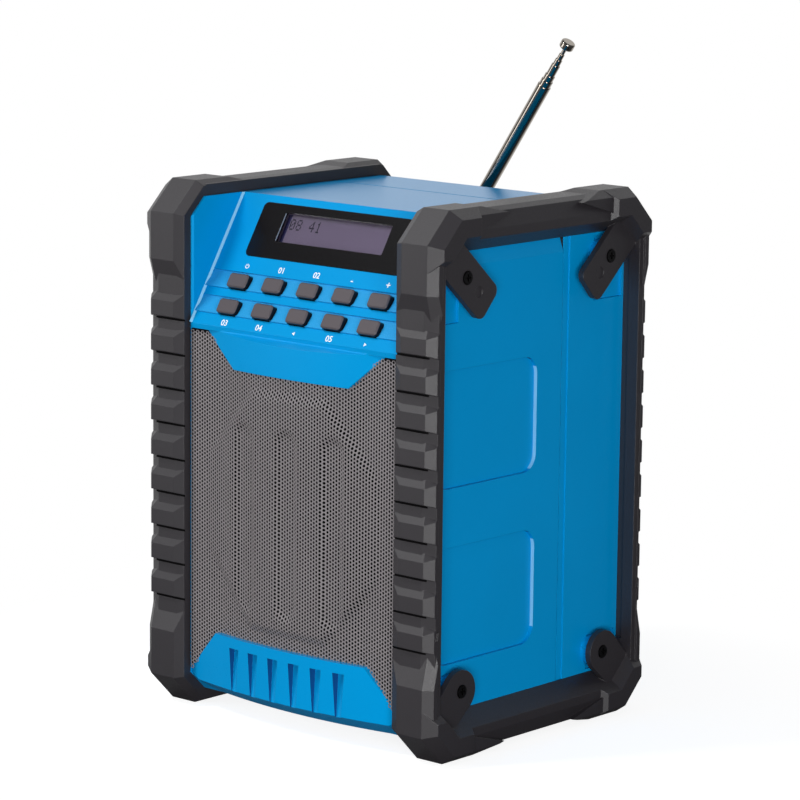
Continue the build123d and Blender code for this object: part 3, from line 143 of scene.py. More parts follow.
# satin ABS from a fine-eroded mould: soft highlight, hardly any grain
blueAbs = moulded("satinBlueAbs", "#0098DA", {
    "drift": 0.02, "grain": 0.35, "rough": 0.3, "roughVary": 0.03, "edge": 0.4,
    "bump": 0.08, "depth": 0.04, "specular": 0.6, "tint": "#40B0FF"})
# painted highlight: a paler, smoother copy of the blue ABS on the tilted bands under the keys, where light
# falls
paintedHighlightBand = moulded("blueBandPaintedHighlight", "#2AA0E0", {
    "drift": 0.02, "grain": 0.35, "rough": 0.26, "roughVary": 0.03, "edge": 0.3,
    "bump": 0.05, "depth": 0.03, "specular": 0.6, "tint": "#80C8FF"})
# painted highlight: a pale copy of the blue ABS on fine bevels and recess walls, for the light their edges
# catch
paintedHighlightBlue = moulded("blueEdgePaintedHighlight", "#8CD0F6", {
    "drift": 0.02, "grain": 0.35, "rough": 0.3, "roughVary": 0.03, "edge": 0.2,
    "bump": 0.05, "depth": 0.03, "specular": 0.6})
# painted shade: a dark, dull copy of the blue ABS on the notch walls and the upper recess walls
paintedShadeBlue = moulded("blueWallPaintedShade", "#0A4E8E", {
    "drift": 0.02, "grain": 0.35, "rough": 0.5, "roughVary": 0.03, "edge": 0.1,
    "bump": 0.08, "depth": 0.04, "specular": 0.3})
# overmoulded rubber: matt, with a fine leather-like grain
charcoalRubber = moulded("grainedCharcoalRubber", "#2A272B", {
    "drift": 0.06, "grain": 0.45, "rough": 0.48, "roughVary": 0.08, "edge": 0.5,
    "bump": 0.3, "depth": 0.09, "specular": 0.65})
# painted shade: rubber deep in the slots under the ribs, painted nearly black, without gloss
paintedShadeSlot = moulded("slotRubberPaintedShade", "#0A090A", {
    "drift": 0.03, "grain": 0.45, "rough": 0.8, "roughVary": 0.05, "edge": 0.1,
    "bump": 0.2, "depth": 0.05, "specular": 0.1})
# soft moulded rubber and foam: black and dull
softBlack = moulded("softBlackRubber", "#121214", {
    "drift": 0.04, "grain": 0.4, "rough": 0.7, "roughVary": 0.06, "edge": 0.2, "bump": 0.2, "depth": 0.05})
# powder-coated steel sheet: even grey with a fine orange peel
grilleMetal = moulded("greyPowderCoat", "#8C8789", {
    "drift": 0.03, "grain": 0.15, "rough": 0.4, "roughVary": 0.08, "edge": 0.1, "bump": 0.15, "depth": 0.03})
# woven acoustic cloth behind the grille: swallows the light
clothBlack = moulded("blackAcousticCloth", "#141315", {
    "drift": 0.05, "grain": 0.3, "rough": 0.9, "roughVary": 0.05, "edge": 0.1,
    "bump": 0.4, "depth": 0.1, "specular": 0.1})
# black ABS from a polished mould: smooth, with a clear but weak highlight
bezelBlack = moulded("satinBlackAbs", "#0C0A0C", {
    "drift": 0.02, "grain": 0.5, "rough": 0.22, "roughVary": 0.03, "edge": 0.3,
    "bump": 0.03, "depth": 0.03, "specular": 0.3})
# key caps with a matt soft-touch coat: grey, with wide dull highlights
keyGrey = moulded("mattGreyKeycap", "#565054", {
    "drift": 0.04, "grain": 0.25, "rough": 0.5, "roughVary": 0.06, "edge": 0.35,
    "bump": 0.2, "depth": 0.05, "specular": 0.3})
# the sides of the key caps: black
keySide = moulded("blackKeySkirt", "#100E11", {
    "drift": 0.03, "grain": 0.3, "rough": 0.4, "roughVary": 0.05, "edge": 0.2,
    "bump": 0.1, "depth": 0.04, "specular": 0.2})
# moulded sockets, switches and chips: plain black
partBlack = moulded("mouldedBlack", "#17171A", {
    "drift": 0.04, "grain": 0.4, "rough": 0.5, "roughVary": 0.06, "edge": 0.2, "bump": 0.2, "depth": 0.05})
# pressed paper of the speaker cone: fibrous and dull
conePaper = moulded("pressedPaper", "#2A2928", {
    "drift": 0.12, "grain": 0.8, "rough": 0.85, "roughVary": 0.05, "edge": 0.2, "bump": 0.5, "depth": 0.1})
# black enamel on pressed steel: smooth, semi-gloss
enamelBlack = moulded("blackEnamel", "#1B1B1E", {
    "drift": 0.03, "grain": 0.5, "rough": 0.35, "roughVary": 0.06, "edge": 0.2, "bump": 0.1, "depth": 0.03})
# ground ferrite magnet: dark grey, slightly uneven
ferrite = moulded("groundFerrite", "#2B2B2B", {
    "drift": 0.08, "grain": 0.3, "rough": 0.6, "roughVary": 0.1, "edge": 0.2, "bump": 0.3, "depth": 0.05})
# solder mask on a circuit board: deep green, semi-gloss
boardGreen = moulded("solderMask", "#14502B", {
    "drift": 0.05, "grain": 0.6, "rough": 0.35, "roughVary": 0.06, "edge": 0.1, "bump": 0.1, "depth": 0.03})
# shrink film on the cells: dark grey and smooth
cellJacket = moulded("printedCellFilm", "#3A3D42", {
    "drift": 0.05, "grain": 0.6, "rough": 0.3, "roughVary": 0.05, "edge": 0.3, "bump": 0.05, "depth": 0.03})
# a dot of the liquid crystal that is switched on: dark violet
figureInk = moulded("darkDisplayDot", "#1A1424", {
    "drift": 0.02, "grain": 0.5, "rough": 0.5, "roughVary": 0.04, "edge": 0.05, "bump": 0.02, "depth": 0.02})
# painted shade: a flat navy tile on the display's plane for the shaded side wall seen through the window
paintedShadeWall = moulded("displayWallPaintedShade", "#0C0758", {
    "drift": 0.02, "grain": 0.5, "rough": 0.5, "roughVary": 0.04, "edge": 0.05, "bump": 0.02, "depth": 0.02})
# painted glint: a pale strip on the window's edge
paintedGlintEdge = moulded("windowEdgePaintedGlint", "#7E8C9E", {
    "drift": 0.02, "grain": 0.5, "rough": 0.3, "roughVary": 0.04, "edge": 0.05, "bump": 0.02, "depth": 0.02})
# pad-printed ink: thin flat white
labelWhite = moulded("whitePadPrint", "#F4F6F8", {
    "drift": 0.02, "grain": 0.2, "rough": 0.55, "roughVary": 0.05, "edge": 0.05, "bump": 0.1, "depth": 0.02})
# zinc plating on screws: dull silver
zincSteel = metal("zincPlatedSteel", "#9C9A93", {
    "stretch": (1, 1, 1), "line": 0.3, "rough": 0.38, "roughVary": 0.08, "bump": 0.2})
# tinned and drawn steel: bright, with faint lines
brightSteel = metal("brightSteel", "#B9B8B5", {
    "stretch": (1, 1, 6), "line": 0.3, "rough": 0.28, "roughVary": 0.06, "bump": 0.1})
# black oxide on the screws in the rings: dark, with a soft gleam
blackScrew = metal("blackOxideSteel", "#2E2D2F", {
    "stretch": (1, 1, 1), "line": 0.3, "rough": 0.42, "roughVary": 0.08, "bump": 0.2})
# chrome plating on drawn brass tube: mirrors its surroundings
chrome = metal("chromePlate", "#9E978E", {
    "stretch": (1, 1, 1), "line": 0.5, "rough": 0.09, "roughVary": 0.02, "bump": 0.02})


# the window: cast acrylic with a thin coat that weakens its mirror image, so the index is low
window = {"tint": "#F2F1F6", "gloss": "#FFFFFF", "rough": 0.04, "ior": 1.3}


def lensMaterial():
    # flat acrylic: light goes straight through, and a thin gloss lies on top by the Fresnel share
    material, tree, shader = newMaterial("clearAcrylic")
    tree.nodes.remove(shader)
    clear = addNode(tree, "ShaderNodeBsdfTransparent", Color=hexColour(window["tint"]))
    gloss = addNode(tree, "ShaderNodeBsdfGlossy", Color=hexColour(window["gloss"]),
                    Roughness=window["rough"])
    share = addNode(tree, "ShaderNodeFresnel", IOR=window["ior"])
    mix = addNode(tree, "ShaderNodeMixShader", i0=(share, "Fac"), i1=(clear, 0), i2=(gloss, 0))
    tree.links.new(mix.outputs[0], tree.nodes["Material Output"].inputs["Surface"])
    return material


# liquid crystal behind glass: an even grey-violet field, with clouds about 55 mm across
liquidField = {"dark": "#847789", "pale": "#938699", "cloudScale": 18.0, "rough": 0.3}


def displayMaterial():
    # a soft noise between the two shades
    material, tree, shader = newMaterial("liquidCrystalField")
    where = addNode(tree, "ShaderNodeTexCoord")
    cloud = addNode(tree, "ShaderNodeTexNoise", Vector=(where, "Object"), Scale=liquidField["cloudScale"],
                    Detail=2.0)
    ramp = addNode(tree, "ShaderNodeValToRGB", Fac=(cloud, "Fac"))
    ramp.color_ramp.elements[0].color = hexColour(liquidField["dark"])
    ramp.color_ramp.elements[1].color = hexColour(liquidField["pale"])
    tree.links.new(ramp.outputs["Color"], shader.inputs["Base Color"])
    shader.inputs["Roughness"].default_value = liquidField["rough"]
    return material


finishes = {
    "blue_shell": blueAbs, "charcoal_rubber": charcoalRubber, "zinc_steel": zincSteel,
    "seal_rubber": softBlack, "grille_metal": grilleMetal, "speaker_steel": enamelBlack,
    "magnet_ferrite": ferrite, "cone_paper": conePaper, "surround_foam": softBlack,
    "bezel_black": bezelBlack, "clear_lens": lensMaterial(), "lcd": displayMaterial(),
    "board_green": boardGreen, "key_grey": keyGrey, "part_black": partBlack, "bright_steel": brightSteel,
    "cell_jacket": cellJacket, "chrome": chrome, "cloth_black": clothBlack,
}
for entry in frame["record"]["subparts"]:
    piece = nodes[entry["node"]]
    piece.data.materials.clear()
    piece.data.materials.append(finishes[entry["material_slot"]])
nodes["bumper_screws"].data.materials[0] = blackScrew


def inFrame(piece, flat):
    # a mesh's own coordinates as rows in the frame, in millimetres
    world = np.array(piece.matrix_world)
    return (flat.reshape(-1, 3) @ world[:3, :3].T + world[:3, 3]) / mm


def faceNormals(piece):
    # the outward direction of every face, in the frame's axes
    normals = np.zeros(len(piece.data.polygons) * 3)
    piece.data.polygons.foreach_get("normal", normals)
    return normals.reshape(-1, 3) @ np.array(piece.matrix_world)[:3, :3].T


def finishFaces(piece, chosen, material):
    # gives the chosen faces a finish of their own
    mesh = piece.data
    mesh.materials.append(material)
    index = np.zeros(len(mesh.polygons), np.int32)
    mesh.polygons.foreach_get("material_index", index)
    index[chosen] = len(mesh.materials) - 1
    mesh.polygons.foreach_set("material_index", index)


def paintByNormal(piece, aims, material, spread, box=None):
    # one finish for the faces that look along any of the aims, within a spread in degrees and inside a box
    unit = np.array(aims, float)
    unit /= np.linalg.norm(unit, axis=1, keepdims=True)
    chosen = (faceNormals(piece) @ unit.T).max(axis=1) > math.cos(math.radians(spread))
    if box:
        centres = np.zeros(len(piece.data.polygons) * 3)
        piece.data.polygons.foreach_get("center", centres)
        centres = inFrame(piece, centres)
        chosen &= ((centres > box[0]) & (centres < box[1])).all(axis=1)
    finishFaces(piece, chosen, material)


# keys: faces that look sideways take the skirt's black, the rest keep the cap's grey
keySkirt = {"sideways": 0.3}


def darkenKeySides(piece):
    outwards = np.array([0, -math.cos(slopeRise), math.sin(slopeRise)])
    finishFaces(piece, faceNormals(piece) @ outwards < keySkirt["sideways"], keySide)


# the slots under the ribs, where shade is painted, in millimetres: the lowest rib's underside and the pitch,
# the slots' reach in depth from the radio's middle, and their reach in height from each rib's underside
ribSlot = {
    "lowZ": 54.2, "pitch": 16.6, "count": 9, "back": 74.7, "face": 75.95, "under": -1.95, "top": -0.5,
}


def paintSlotShade(piece):
    # painted shade in the narrow slots: faces whose corners are all inside one slot
    s = ribSlot
    mesh = piece.data
    points = np.empty(len(mesh.vertices) * 3)
    mesh.vertices.foreach_get("co", points)
    _, y, z = inFrame(piece, points).T
    row = np.clip(np.round((z - s["lowZ"]) / s["pitch"]), 0, s["count"] - 1)
    above = z - s["lowZ"] - row * s["pitch"]
    inside = (np.abs(y) > s["back"]) & (np.abs(y) < s["face"]) & (above > s["under"]) & (above < s["top"])
    corners = np.empty(len(mesh.loops), np.int32)
    mesh.loops.foreach_get("vertex_index", corners)
    finishFaces(piece, inside[corners.reshape(-1, 3)].all(axis=1), paintedShadeSlot)


# where the front shell's painted highlight and painted shade lie, in millimetres, and how far their faces
# may turn, in degrees
shellPaint = {
    "flatSpread": 1.5,
    "notchBox": ((-40, -79, 13), (40, -70, 36)), "notchLift": 0.05, "notchSpread": 12,
    "recessBoxes": (((-79, -62, 50), (-74, 9, 190)), ((74, -62, 50), (79, 9, 190))),
    "recessLift": 0.35, "rearSpread": 42, "upperSpread": 35,
}


def paintFrontShell(shell):
    p = shellPaint
    # painted highlight on the two tilted bands behind the keys and on the narrow bevels beside the console
    paintByNormal(shell, [(0, -math.cos(bandRise), math.sin(bandRise))], paintedHighlightBand, p["flatSpread"])
    bevels = [(side, -math.cos(slopeRise), math.sin(slopeRise)) for side in (-1, 1)]
    paintByNormal(shell, bevels, paintedHighlightBlue, p["flatSpread"])
    # painted shade on the walls of the notches in the kick pad
    notchAims = [(side, 0, p["notchLift"]) for side in (1, -1)]
    paintByNormal(shell, notchAims, paintedShadeBlue, p["notchSpread"], p["notchBox"])
    # the walls of the side recesses: painted highlight on the rear ones, painted shade on the upper ones
    for box in p["recessBoxes"]:
        paintByNormal(shell, [(0, -1, p["recessLift"])], paintedHighlightBlue, p["rearSpread"], box)
        paintByNormal(shell, [(0, 0, -1)], paintedShadeBlue, p["upperSpread"], box)


for number in range(1, place["keyCount"] + 1):
    darkenKeySides(nodes[f"button_{number}"])
# painted shade in the slots under the ribs of both rings
for name in ("bumper_right", "bumper_left"):
    paintSlotShade(nodes[name])
paintFrontShell(nodes["front_housing"])
print("finishes set:", len(finishes))


def meshPiece(name, points, faces, material, body="cabinet"):
    # points in millimetres, faces as rows of indices; the piece rides on one body
    mesh = bpy.data.meshes.new(name)
    mesh.from_pydata((np.asarray(points) * mm).tolist(), [], [list(f) for f in faces])
    mesh.update()
    mesh.materials.append(material)
    piece = bpy.data.objects.new(name, mesh)
    bpy.context.scene.collection.objects.link(piece)
    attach(piece, body)
    return piece


# perforated grille, in millimetres: a staggered lattice of holes, with an octagon and grooves pressed in
grille = {
    "columnStep": 1.6, "rowStep": 1.8, "holeRadius": 0.76, "thickness": 0.4,
    "halfX": 65.3, "flatX": 64.0, "lowZ": 15.0, "highZ": 182.0, "sideMargin": 1.0, "endMargin": 0.9,
    "fieldHalfX": 55.2, "fieldHighZ": 160.0, "fieldLowZ": 45.0, "fieldCutX": 23.5,
    "fieldMidX": 46.0, "fieldMidRise": 24.6, "shoulder": 35.0, "fieldStep": 4.6,
    "grooveHalf": 5.4, "groovePitch": 27.4, "grooveLowZ": 54.5, "grooveHighZ": 141.5, "grooveStep": 4.4,
    # outlines of the apron and the kick pad, and how far the sheet reaches under them
    "apron": [(-56.6, 183.4), (-36.0, 165.6), (36.0, 165.6), (56.6, 183.4)],
    "pad": [(-47.0, 40.0), (-66.6, 19.0), (-66.6, 5.0), (66.6, 5.0), (66.6, 19.0), (47.0, 40.0)],
    "tuckUnder": 1.2,
}


def polygonDistance(x, z, corners):
    # signed distance to a convex outline, positive inside: the least distance to its edge lines
    corners = np.array(corners, float)
    centre = corners.mean(0)
    result = np.full(np.shape(x), np.inf)
    for a, b in zip(corners, np.roll(corners, -1, 0)):
        edge = b - a
        normal = np.array([-edge[1], edge[0]]) / np.hypot(*edge)
        if (centre - a) @ normal < 0:
            normal = -normal
        result = np.minimum(result, (x - a[0]) * normal[0] + (z - a[1]) * normal[1])
    return result


def softStep(distance, width):
    # 0 to 1 across an edge of that width: 3t^2 - 2t^3
    t = np.clip(distance / width + 0.5, 0, 1)
    return t * t * (3 - 2 * t)


def fieldOutline():
    # the octagon's corners, with one more corner in each long shoulder
    g = grille
    hx, top, low = g["fieldHalfX"], g["fieldHighZ"], g["fieldLowZ"]
    cut, mid, rise, shoulder = g["fieldCutX"], g["fieldMidX"], g["fieldMidRise"], g["shoulder"]
    return [(-cut, top), (-mid, top - rise), (-hx, top - shoulder), (-hx, low + shoulder),
            (-mid, low + rise), (-cut, low), (cut, low), (mid, low + rise), (hx, low + shoulder),
            (hx, top - shoulder), (mid, top - rise), (cut, top)]


def grilleSurface(x, z):
    # front of the sheet: the arch y0 + x^2/2R or the flat margin, whichever is foremost, raised inside the
    # octagon and sunk again along the three grooves
    g = grille
    sag = x * x / (2 * place["archRadius"])
    arch = np.where(np.abs(x) < g["flatX"], place["grilleY"] + sag, place["marginY"])
    panel = np.minimum(arch, place["marginY"])
    field = np.minimum(place["fieldY"] + sag, panel)
    raised = softStep(polygonDistance(x, z, fieldOutline()) - g["fieldStep"] / 2, g["fieldStep"])
    lowEnd, highEnd = g["grooveLowZ"] + g["grooveHalf"], g["grooveHighZ"] - g["grooveHalf"]
    for k in (-1, 0, 1):
        away = np.hypot(x - k * g["groovePitch"], z - np.clip(z, lowEnd, highEnd))
        raised = raised * (1 - softStep(g["grooveHalf"] - away, g["grooveStep"]))
    return panel + (field - panel) * raised


def latticeCentres(columns):
    # rows shifted by half a step in every other column, without the holes under the apron and the pad
    g = grille
    rows = np.arange(int((g["highZ"] - g["lowZ"]) / g["rowStep"]) + 2)
    i, j = [v.ravel() for v in np.meshgrid(columns, rows, indexing="ij")]
    x = i * g["columnStep"]
    z = g["lowZ"] + j * g["rowStep"] + (np.abs(i) % 2) * g["rowStep"] / 2
    keep = np.abs(x) < g["halfX"] - g["sideMargin"]
    keep &= (z < g["highZ"] - g["endMargin"]) & (z > g["lowZ"] + g["endMargin"])
    for outline in (g["apron"], g["pad"]):
        keep &= polygonDistance(x, z, outline) < g["tuckUnder"]
    return x[keep], z[keep]


def latticeSheet(columns, name):
    # six-sided cells round every centre, each with a six-sided hole: front and back sheets and all walls
    x, z = latticeCentres(columns)
    a, b = grille["columnStep"], grille["rowStep"]
    near = (a * a - b * b / 4) / (2 * a)
    wide = (a * a + b * b / 4) / (2 * a)
    cell = np.array([(wide, 0), (near, b / 2), (-near, b / 2), (-wide, 0), (-near, -b / 2), (near, -b / 2)])
    turn = np.radians(np.arange(6) * 60)
    hole = grille["holeRadius"] * np.stack([np.cos(turn), np.sin(turn)], 1)
    centre = np.stack([x, z], 1)[:, None, :]
    outer, inner = centre + cell, centre + hole

    def lift(flat, back):
        y = grilleSurface(flat[..., 0], flat[..., 1]) + back
        return np.stack([flat[..., 0], y, flat[..., 1]], -1).reshape(-1, 3)

    t = grille["thickness"]
    points = np.concatenate([lift(outer, 0), lift(inner, 0), lift(outer, t), lift(inner, t)])
    # corners shared by neighbouring cells become one point
    _, first, same = np.unique(np.round(points, 3), axis=0, return_index=True, return_inverse=True)
    outerFront, innerFront, outerBack, innerBack = same.reshape(4, len(x), 6)
    ahead = np.roll(np.arange(6), -1)

    def band(*corners):
        return np.stack(corners, -1).reshape(-1, 4)

    front = band(outerFront, outerFront[:, ahead], innerFront[:, ahead], innerFront)
    wall = band(innerFront, innerFront[:, ahead], innerBack[:, ahead], innerBack)
    back = band(outerBack, innerBack, innerBack[:, ahead], outerBack[:, ahead])
    # outer rim: cell edges that no neighbour shares
    edge = np.stack([outerFront, outerFront[:, ahead]], -1).reshape(-1, 2)
    edgeBack = np.stack([outerBack, outerBack[:, ahead]], -1).reshape(-1, 2)
    _, inverse, count = np.unique(np.sort(edge, 1), axis=0, return_inverse=True, return_counts=True)
    lone = count[inverse.ravel()] == 1
    rim = np.concatenate([edge[lone][:, ::-1], edgeBack[lone]], 1)
    print(name, "holes:", len(x))
    return meshPiece(name, points[first], np.concatenate([front, wall, back, rim]), grilleMetal)


lastColumn = int(grille["halfX"] / grille["columnStep"]) + 1
leftGrille = latticeSheet(np.arange(-lastColumn, 0), "grilleLeft")
rightGrille = latticeSheet(np.arange(0, lastColumn + 1), "grilleRight")
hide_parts("speaker_grille")
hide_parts("speaker_grille")


def onSlope(x, v, n):
    # console coordinates (across, up the slope, out of it) to the frame, in millimetres
    y = place["slopeY"] + v * math.sin(slopeRise) - n * math.cos(slopeRise)
    z = place["slopeZ"] + v * math.cos(slopeRise) + n * math.sin(slopeRise)
    return np.stack([np.broadcast_to(x, np.shape(y)), y, z], -1)


boxFaces = np.array([(0, 3, 2, 1), (4, 5, 6, 7), (0, 1, 5, 4), (1, 2, 6, 5), (2, 3, 7, 6), (3, 0, 4, 7)])

# display, in millimetres on the slope: dot-matrix figures, a tile of painted shade for the wall at their
# left and a painted glint on the window's edge
display = {
    "text": "08 41", "left": -30.4, "top": 53.6, "dotWide": 0.6, "dotHigh": 0.74,
    "pitch": 0.63, "rowPitch": 0.79, "advance": 4.05, "depth": -2.49, "thick": 0.05,
    "halfX": 33.0, "low": 41.2, "high": 56.2, "wallWide": 2.1,
    "edgeWide": 0.12, "edgeInset": 0.5, "edgeFrom": -0.35, "edgeTo": 0.2,
}
dotRows = {
    "0": ["01110", "10001", "10011", "10101", "11001", "10001", "01110"],
    "1": ["00100", "01100", "00100", "00100", "00100", "00100", "01110"],
    "4": ["00010", "00110", "01010", "10010", "11111", "00010", "00010"],
    "8": ["01110", "10001", "10001", "01110", "10001", "10001", "01110"],
    " ": ["00000"] * 7,
}


def displayFigures():
    # a five by seven dot figure at each place, every dot a thin square tile
    d = display
    dots = np.array([(d["left"] + k * d["advance"] + c * d["pitch"], d["top"] - r * d["rowPitch"])
                     for k, figure in enumerate(d["text"])
                     for r, row in enumerate(dotRows[figure]) for c, on in enumerate(row) if on == "1"])
    cornerX = np.array([0, 1, 1, 0, 0, 1, 1, 0]) * d["dotWide"]
    cornerV = np.array([0, 0, 1, 1, 0, 0, 1, 1]) * d["dotHigh"]
    cornerN = np.array([d["depth"]] * 4 + [d["depth"] + d["thick"]] * 4)
    x = dots[:, :1] + cornerX
    v = dots[:, 1:] + cornerV
    points = onSlope(x, v, np.broadcast_to(cornerN, v.shape)).reshape(-1, 3)
    faces = (np.arange(len(dots))[:, None, None] * 8 + boxFaces).reshape(-1, 4)
    meshPiece("displayFigures", points, faces, figureInk)


def slopeStrip(name, across, along, out, material):
    # thin box on the slope, from its limits across, up and out of the slope
    x = np.array(across)[[0, 1, 1, 0, 0, 1, 1, 0]]
    v = np.array(along)[[0, 0, 1, 1, 0, 0, 1, 1]]
    n = np.array(out)[[0, 0, 0, 0, 1, 1, 1, 1]]
    meshPiece(name, onSlope(x, v, n), boxFaces, material)


def displaySides():
    # painted shade: a dark tile for the wall at the left of the field; painted glint: a bright strip on the
    # window's edge beside it
    d = display
    left = -d["halfX"]
    slopeStrip("displayWallShadeTile", (left, left + d["wallWide"]), (d["low"], d["high"]),
               (d["depth"], d["depth"] + d["thick"]), paintedShadeWall)
    edgeLow, edgeHigh = d["low"] + d["edgeInset"], d["high"] - d["edgeInset"]
    slopeStrip("windowGlintStrip", (left, left + d["edgeWide"]), (edgeLow, edgeHigh),
               (d["edgeFrom"], d["edgeTo"]), paintedGlintEdge)


# key labels, in millimetres and degrees: places up the slope of both rows; the values named Size are shares
# of a figure's height, the arrow's other three are shares of its size, and barTo is a share of the ring
label = {
    "height": 2.9, "thick": 0.04, "bold": 0.07, "upperV": 27.3, "lowerV": -1.9,
    "fontSize": 1.4, "signSize": 1.2, "ringSize": 0.34, "ringWidth": 0.42,
    "arrowSize": 0.55, "arrowTip": 0.6, "arrowTail": 0.4, "arrowHalf": 0.55,
    "ringFrom": 125, "ringTo": 415, "ringPoints": 25, "barFrom": 0.2, "barTo": 1.2,
}


def textOutline(text, height):
    # a figure or sign as a thin solid, centred on its own middle, read back as arrays
    curve = bpy.data.curves.new("outline", "FONT")
    curve.body = text
    curve.size = height * label["fontSize"]
    curve.align_x = "CENTER"
    curve.align_y = "CENTER"
    curve.extrude = label["thick"] / 2
    curve.offset = label["bold"]
    holder = bpy.data.objects.new("outline", curve)
    bpy.context.scene.collection.objects.link(holder)
    mesh = bpy.data.meshes.new_from_object(holder.evaluated_get(bpy.context.evaluated_depsgraph_get()))
    points = np.zeros(len(mesh.vertices) * 3)
    mesh.vertices.foreach_get("co", points)
    faces = [list(p.vertices) for p in mesh.polygons]
    bpy.data.objects.remove(holder)
    bpy.data.meshes.remove(mesh)
    return points.reshape(-1, 3), faces


def arrowOutline(size, way):
    # a flat triangle pointing left or right
    tip, tail = label["arrowTip"] * way * size, -label["arrowTail"] * way * size
    half = label["arrowHalf"] * size
    flat = np.array([(tip, 0), (tail, half), (tail, -half)])
    if way > 0:
        flat = flat[::-1]
    t = label["thick"] / 2
    points = np.concatenate([np.c_[flat, np.full(3, -t)], np.c_[flat, np.full(3, t)]])
    return points, [[0, 1, 2], [5, 4, 3], [0, 3, 4, 1], [1, 4, 5, 2], [2, 5, 3, 0]]


def flatBand(sideA, sideB):
    # thin solid between two rows of points
    t = label["thick"] / 2
    k = len(sideA)
    points = np.concatenate([np.c_[side, np.full(k, n)] for n in (-t, t) for side in (sideA, sideB)])
    i = np.arange(k - 1)
    faces = [np.stack(c, 1) for c in ((i, i + 1, i + k + 1, i + k),
                                      (i + 2 * k, i + 3 * k, i + 3 * k + 1, i + 2 * k + 1),
                                      (i, i + 2 * k, i + 2 * k + 1, i + 1),
                                      (i + k, i + k + 1, i + 3 * k + 1, i + 3 * k))]
    ends = np.array([(0, k, 3 * k, 2 * k), (k - 1, 3 * k - 1, 4 * k - 1, 2 * k - 1)])
    return points, np.concatenate(faces + [ends])


def ringOutline(radius, width):
    # open ring with a bar through its gap: the usual sign for on and off
    turn = np.radians(np.linspace(label["ringFrom"], label["ringTo"], label["ringPoints"]))
    circle = np.stack([np.cos(turn), np.sin(turn)], 1)
    ringPoints, ringFaces = flatBand(circle * (radius + width / 2), circle * (radius - width / 2))
    low, high = label["barFrom"], radius * label["barTo"]
    barPoints, barFaces = flatBand(*[np.array([(x, low), (x, high)]) for x in (width / 2, -width / 2)])
    faces = np.concatenate([ringFaces, barFaces + len(ringPoints)])
    return np.concatenate([ringPoints, barPoints]), faces.tolist()


def keyLabels():
    # plain signs and numbers over the upper keys and under the lower ones
    h = label["height"]
    signHeight = h * label["signSize"]
    upper = [ringOutline(h * label["ringSize"], label["ringWidth"]), textOutline("01", h),
             textOutline("02", h), textOutline("-", signHeight), textOutline("+", signHeight)]
    lower = [textOutline("03", h), textOutline("04", h), arrowOutline(h * label["arrowSize"], -1),
             textOutline("05", h), arrowOutline(h * label["arrowSize"], 1)]
    middle = (len(upper) - 1) / 2
    for rowName, row, v in (("Upper", upper, label["upperV"]), ("Lower", lower, label["lowerV"])):
        for k, (points, faces) in enumerate(row):
            x = (k - middle) * place["keyPitch"]
            placed = onSlope(points[:, 0] + x, points[:, 1] + v, points[:, 2] + label["thick"] / 2)
            meshPiece(f"label{rowName}{k + 1}", placed, faces, labelWhite)


displayFigures()
displaySides()
keyLabels()
print("display and labels done")

# camera: angles in degrees, distances in millimetres, farthest in metres; it aims at a height on the
# radio's middle line, moved right and up in the picture
view = {
    "azimuth": 41.33, "elevation": 10.156, "roll": 0.6335, "lens": 160.69, "sensor": 36,
    "aim": 125.0, "right": 1.685, "up": 21.74, "distance": 1680.95, "farthest": 50,
}


def addCamera():
    # the camera's axes from azimuth and elevation, turned by the roll, and its place back along its view
    az, el, roll = (math.radians(view[k]) for k in ("azimuth", "elevation", "roll"))
    back = Vector((math.sin(az) * math.cos(el), -math.cos(az) * math.cos(el), math.sin(el)))
    right = Vector((math.cos(az), math.sin(az), 0))
    up = back.cross(right)
    turnedRight = math.cos(roll) * right + math.sin(roll) * up
    turnedUp = -math.sin(roll) * right + math.cos(roll) * up
    target = Vector((0, 0, view["aim"])) + turnedRight * view["right"] + turnedUp * view["up"]
    data = bpy.data.cameras.new("camera")
    data.lens = view["lens"]
    data.sensor_width = view["sensor"]
    data.clip_end = view["farthest"]
    camera = bpy.data.objects.new("camera", data)
    bpy.context.scene.collection.objects.link(camera)
    spin = Matrix((turnedRight, turnedUp, back)).transposed()
    camera.matrix_world = Matrix.Translation((target + back * view["distance"]) * mm) @ spin.to_4x4()
    bpy.context.scene.camera = camera


# floor and surroundings: distances in metres, colours and strengths; mirrored rays see white where they run
# along the backdrop's direction, by a share that rises between the two limits
studio = {
    "backdrop": (-0.66, 0.75, 0.0), "backdropFrom": 0.2, "backdropTo": 0.75,
    "floorHalf": 6.0, "shadowNear": 0.12, "shadowFar": 0.28, "floorGlow": 0.83,
    "floorColour": "#D0D0D0", "bounceColour": "#808080", "worldColour": "#D2D6DC", "worldSoft": 0.22,
}


def seenWhite(tree, towards):
    # 1 for rays from the camera or through a window, and for mirrored ones that go to the backdrop behind
    ray = addNode(tree, "ShaderNodeLightPath")
    unit = addNode(tree, "ShaderNodeVectorMath", {"operation": "NORMALIZE"}, i0=towards)
    along = addNode(tree, "ShaderNodeVectorMath", {"operation": "DOT_PRODUCT"}, i0=(unit, 0),
                    i1=studio["backdrop"])
    behind = addNode(tree, "ShaderNodeMapRange", {"interpolation_type": "SMOOTHSTEP"}, i0=(along, "Value"),
                     i1=studio["backdropFrom"], i2=studio["backdropTo"])
    mirrored = addNode(tree, "ShaderNodeMath", {"operation": "MULTIPLY"}, i0=(ray, "Is Glossy Ray"),
                       i1=(behind, 0))
    seen = addNode(tree, "ShaderNodeMath", {"operation": "MAXIMUM"}, i0=(ray, "Is Camera Ray"),
                   i1=(mirrored, 0))
    return addNode(tree, "ShaderNodeMath", {"operation": "MAXIMUM"}, i0=(seen, 0),
                   i1=(ray, "Is Transmission Ray"))


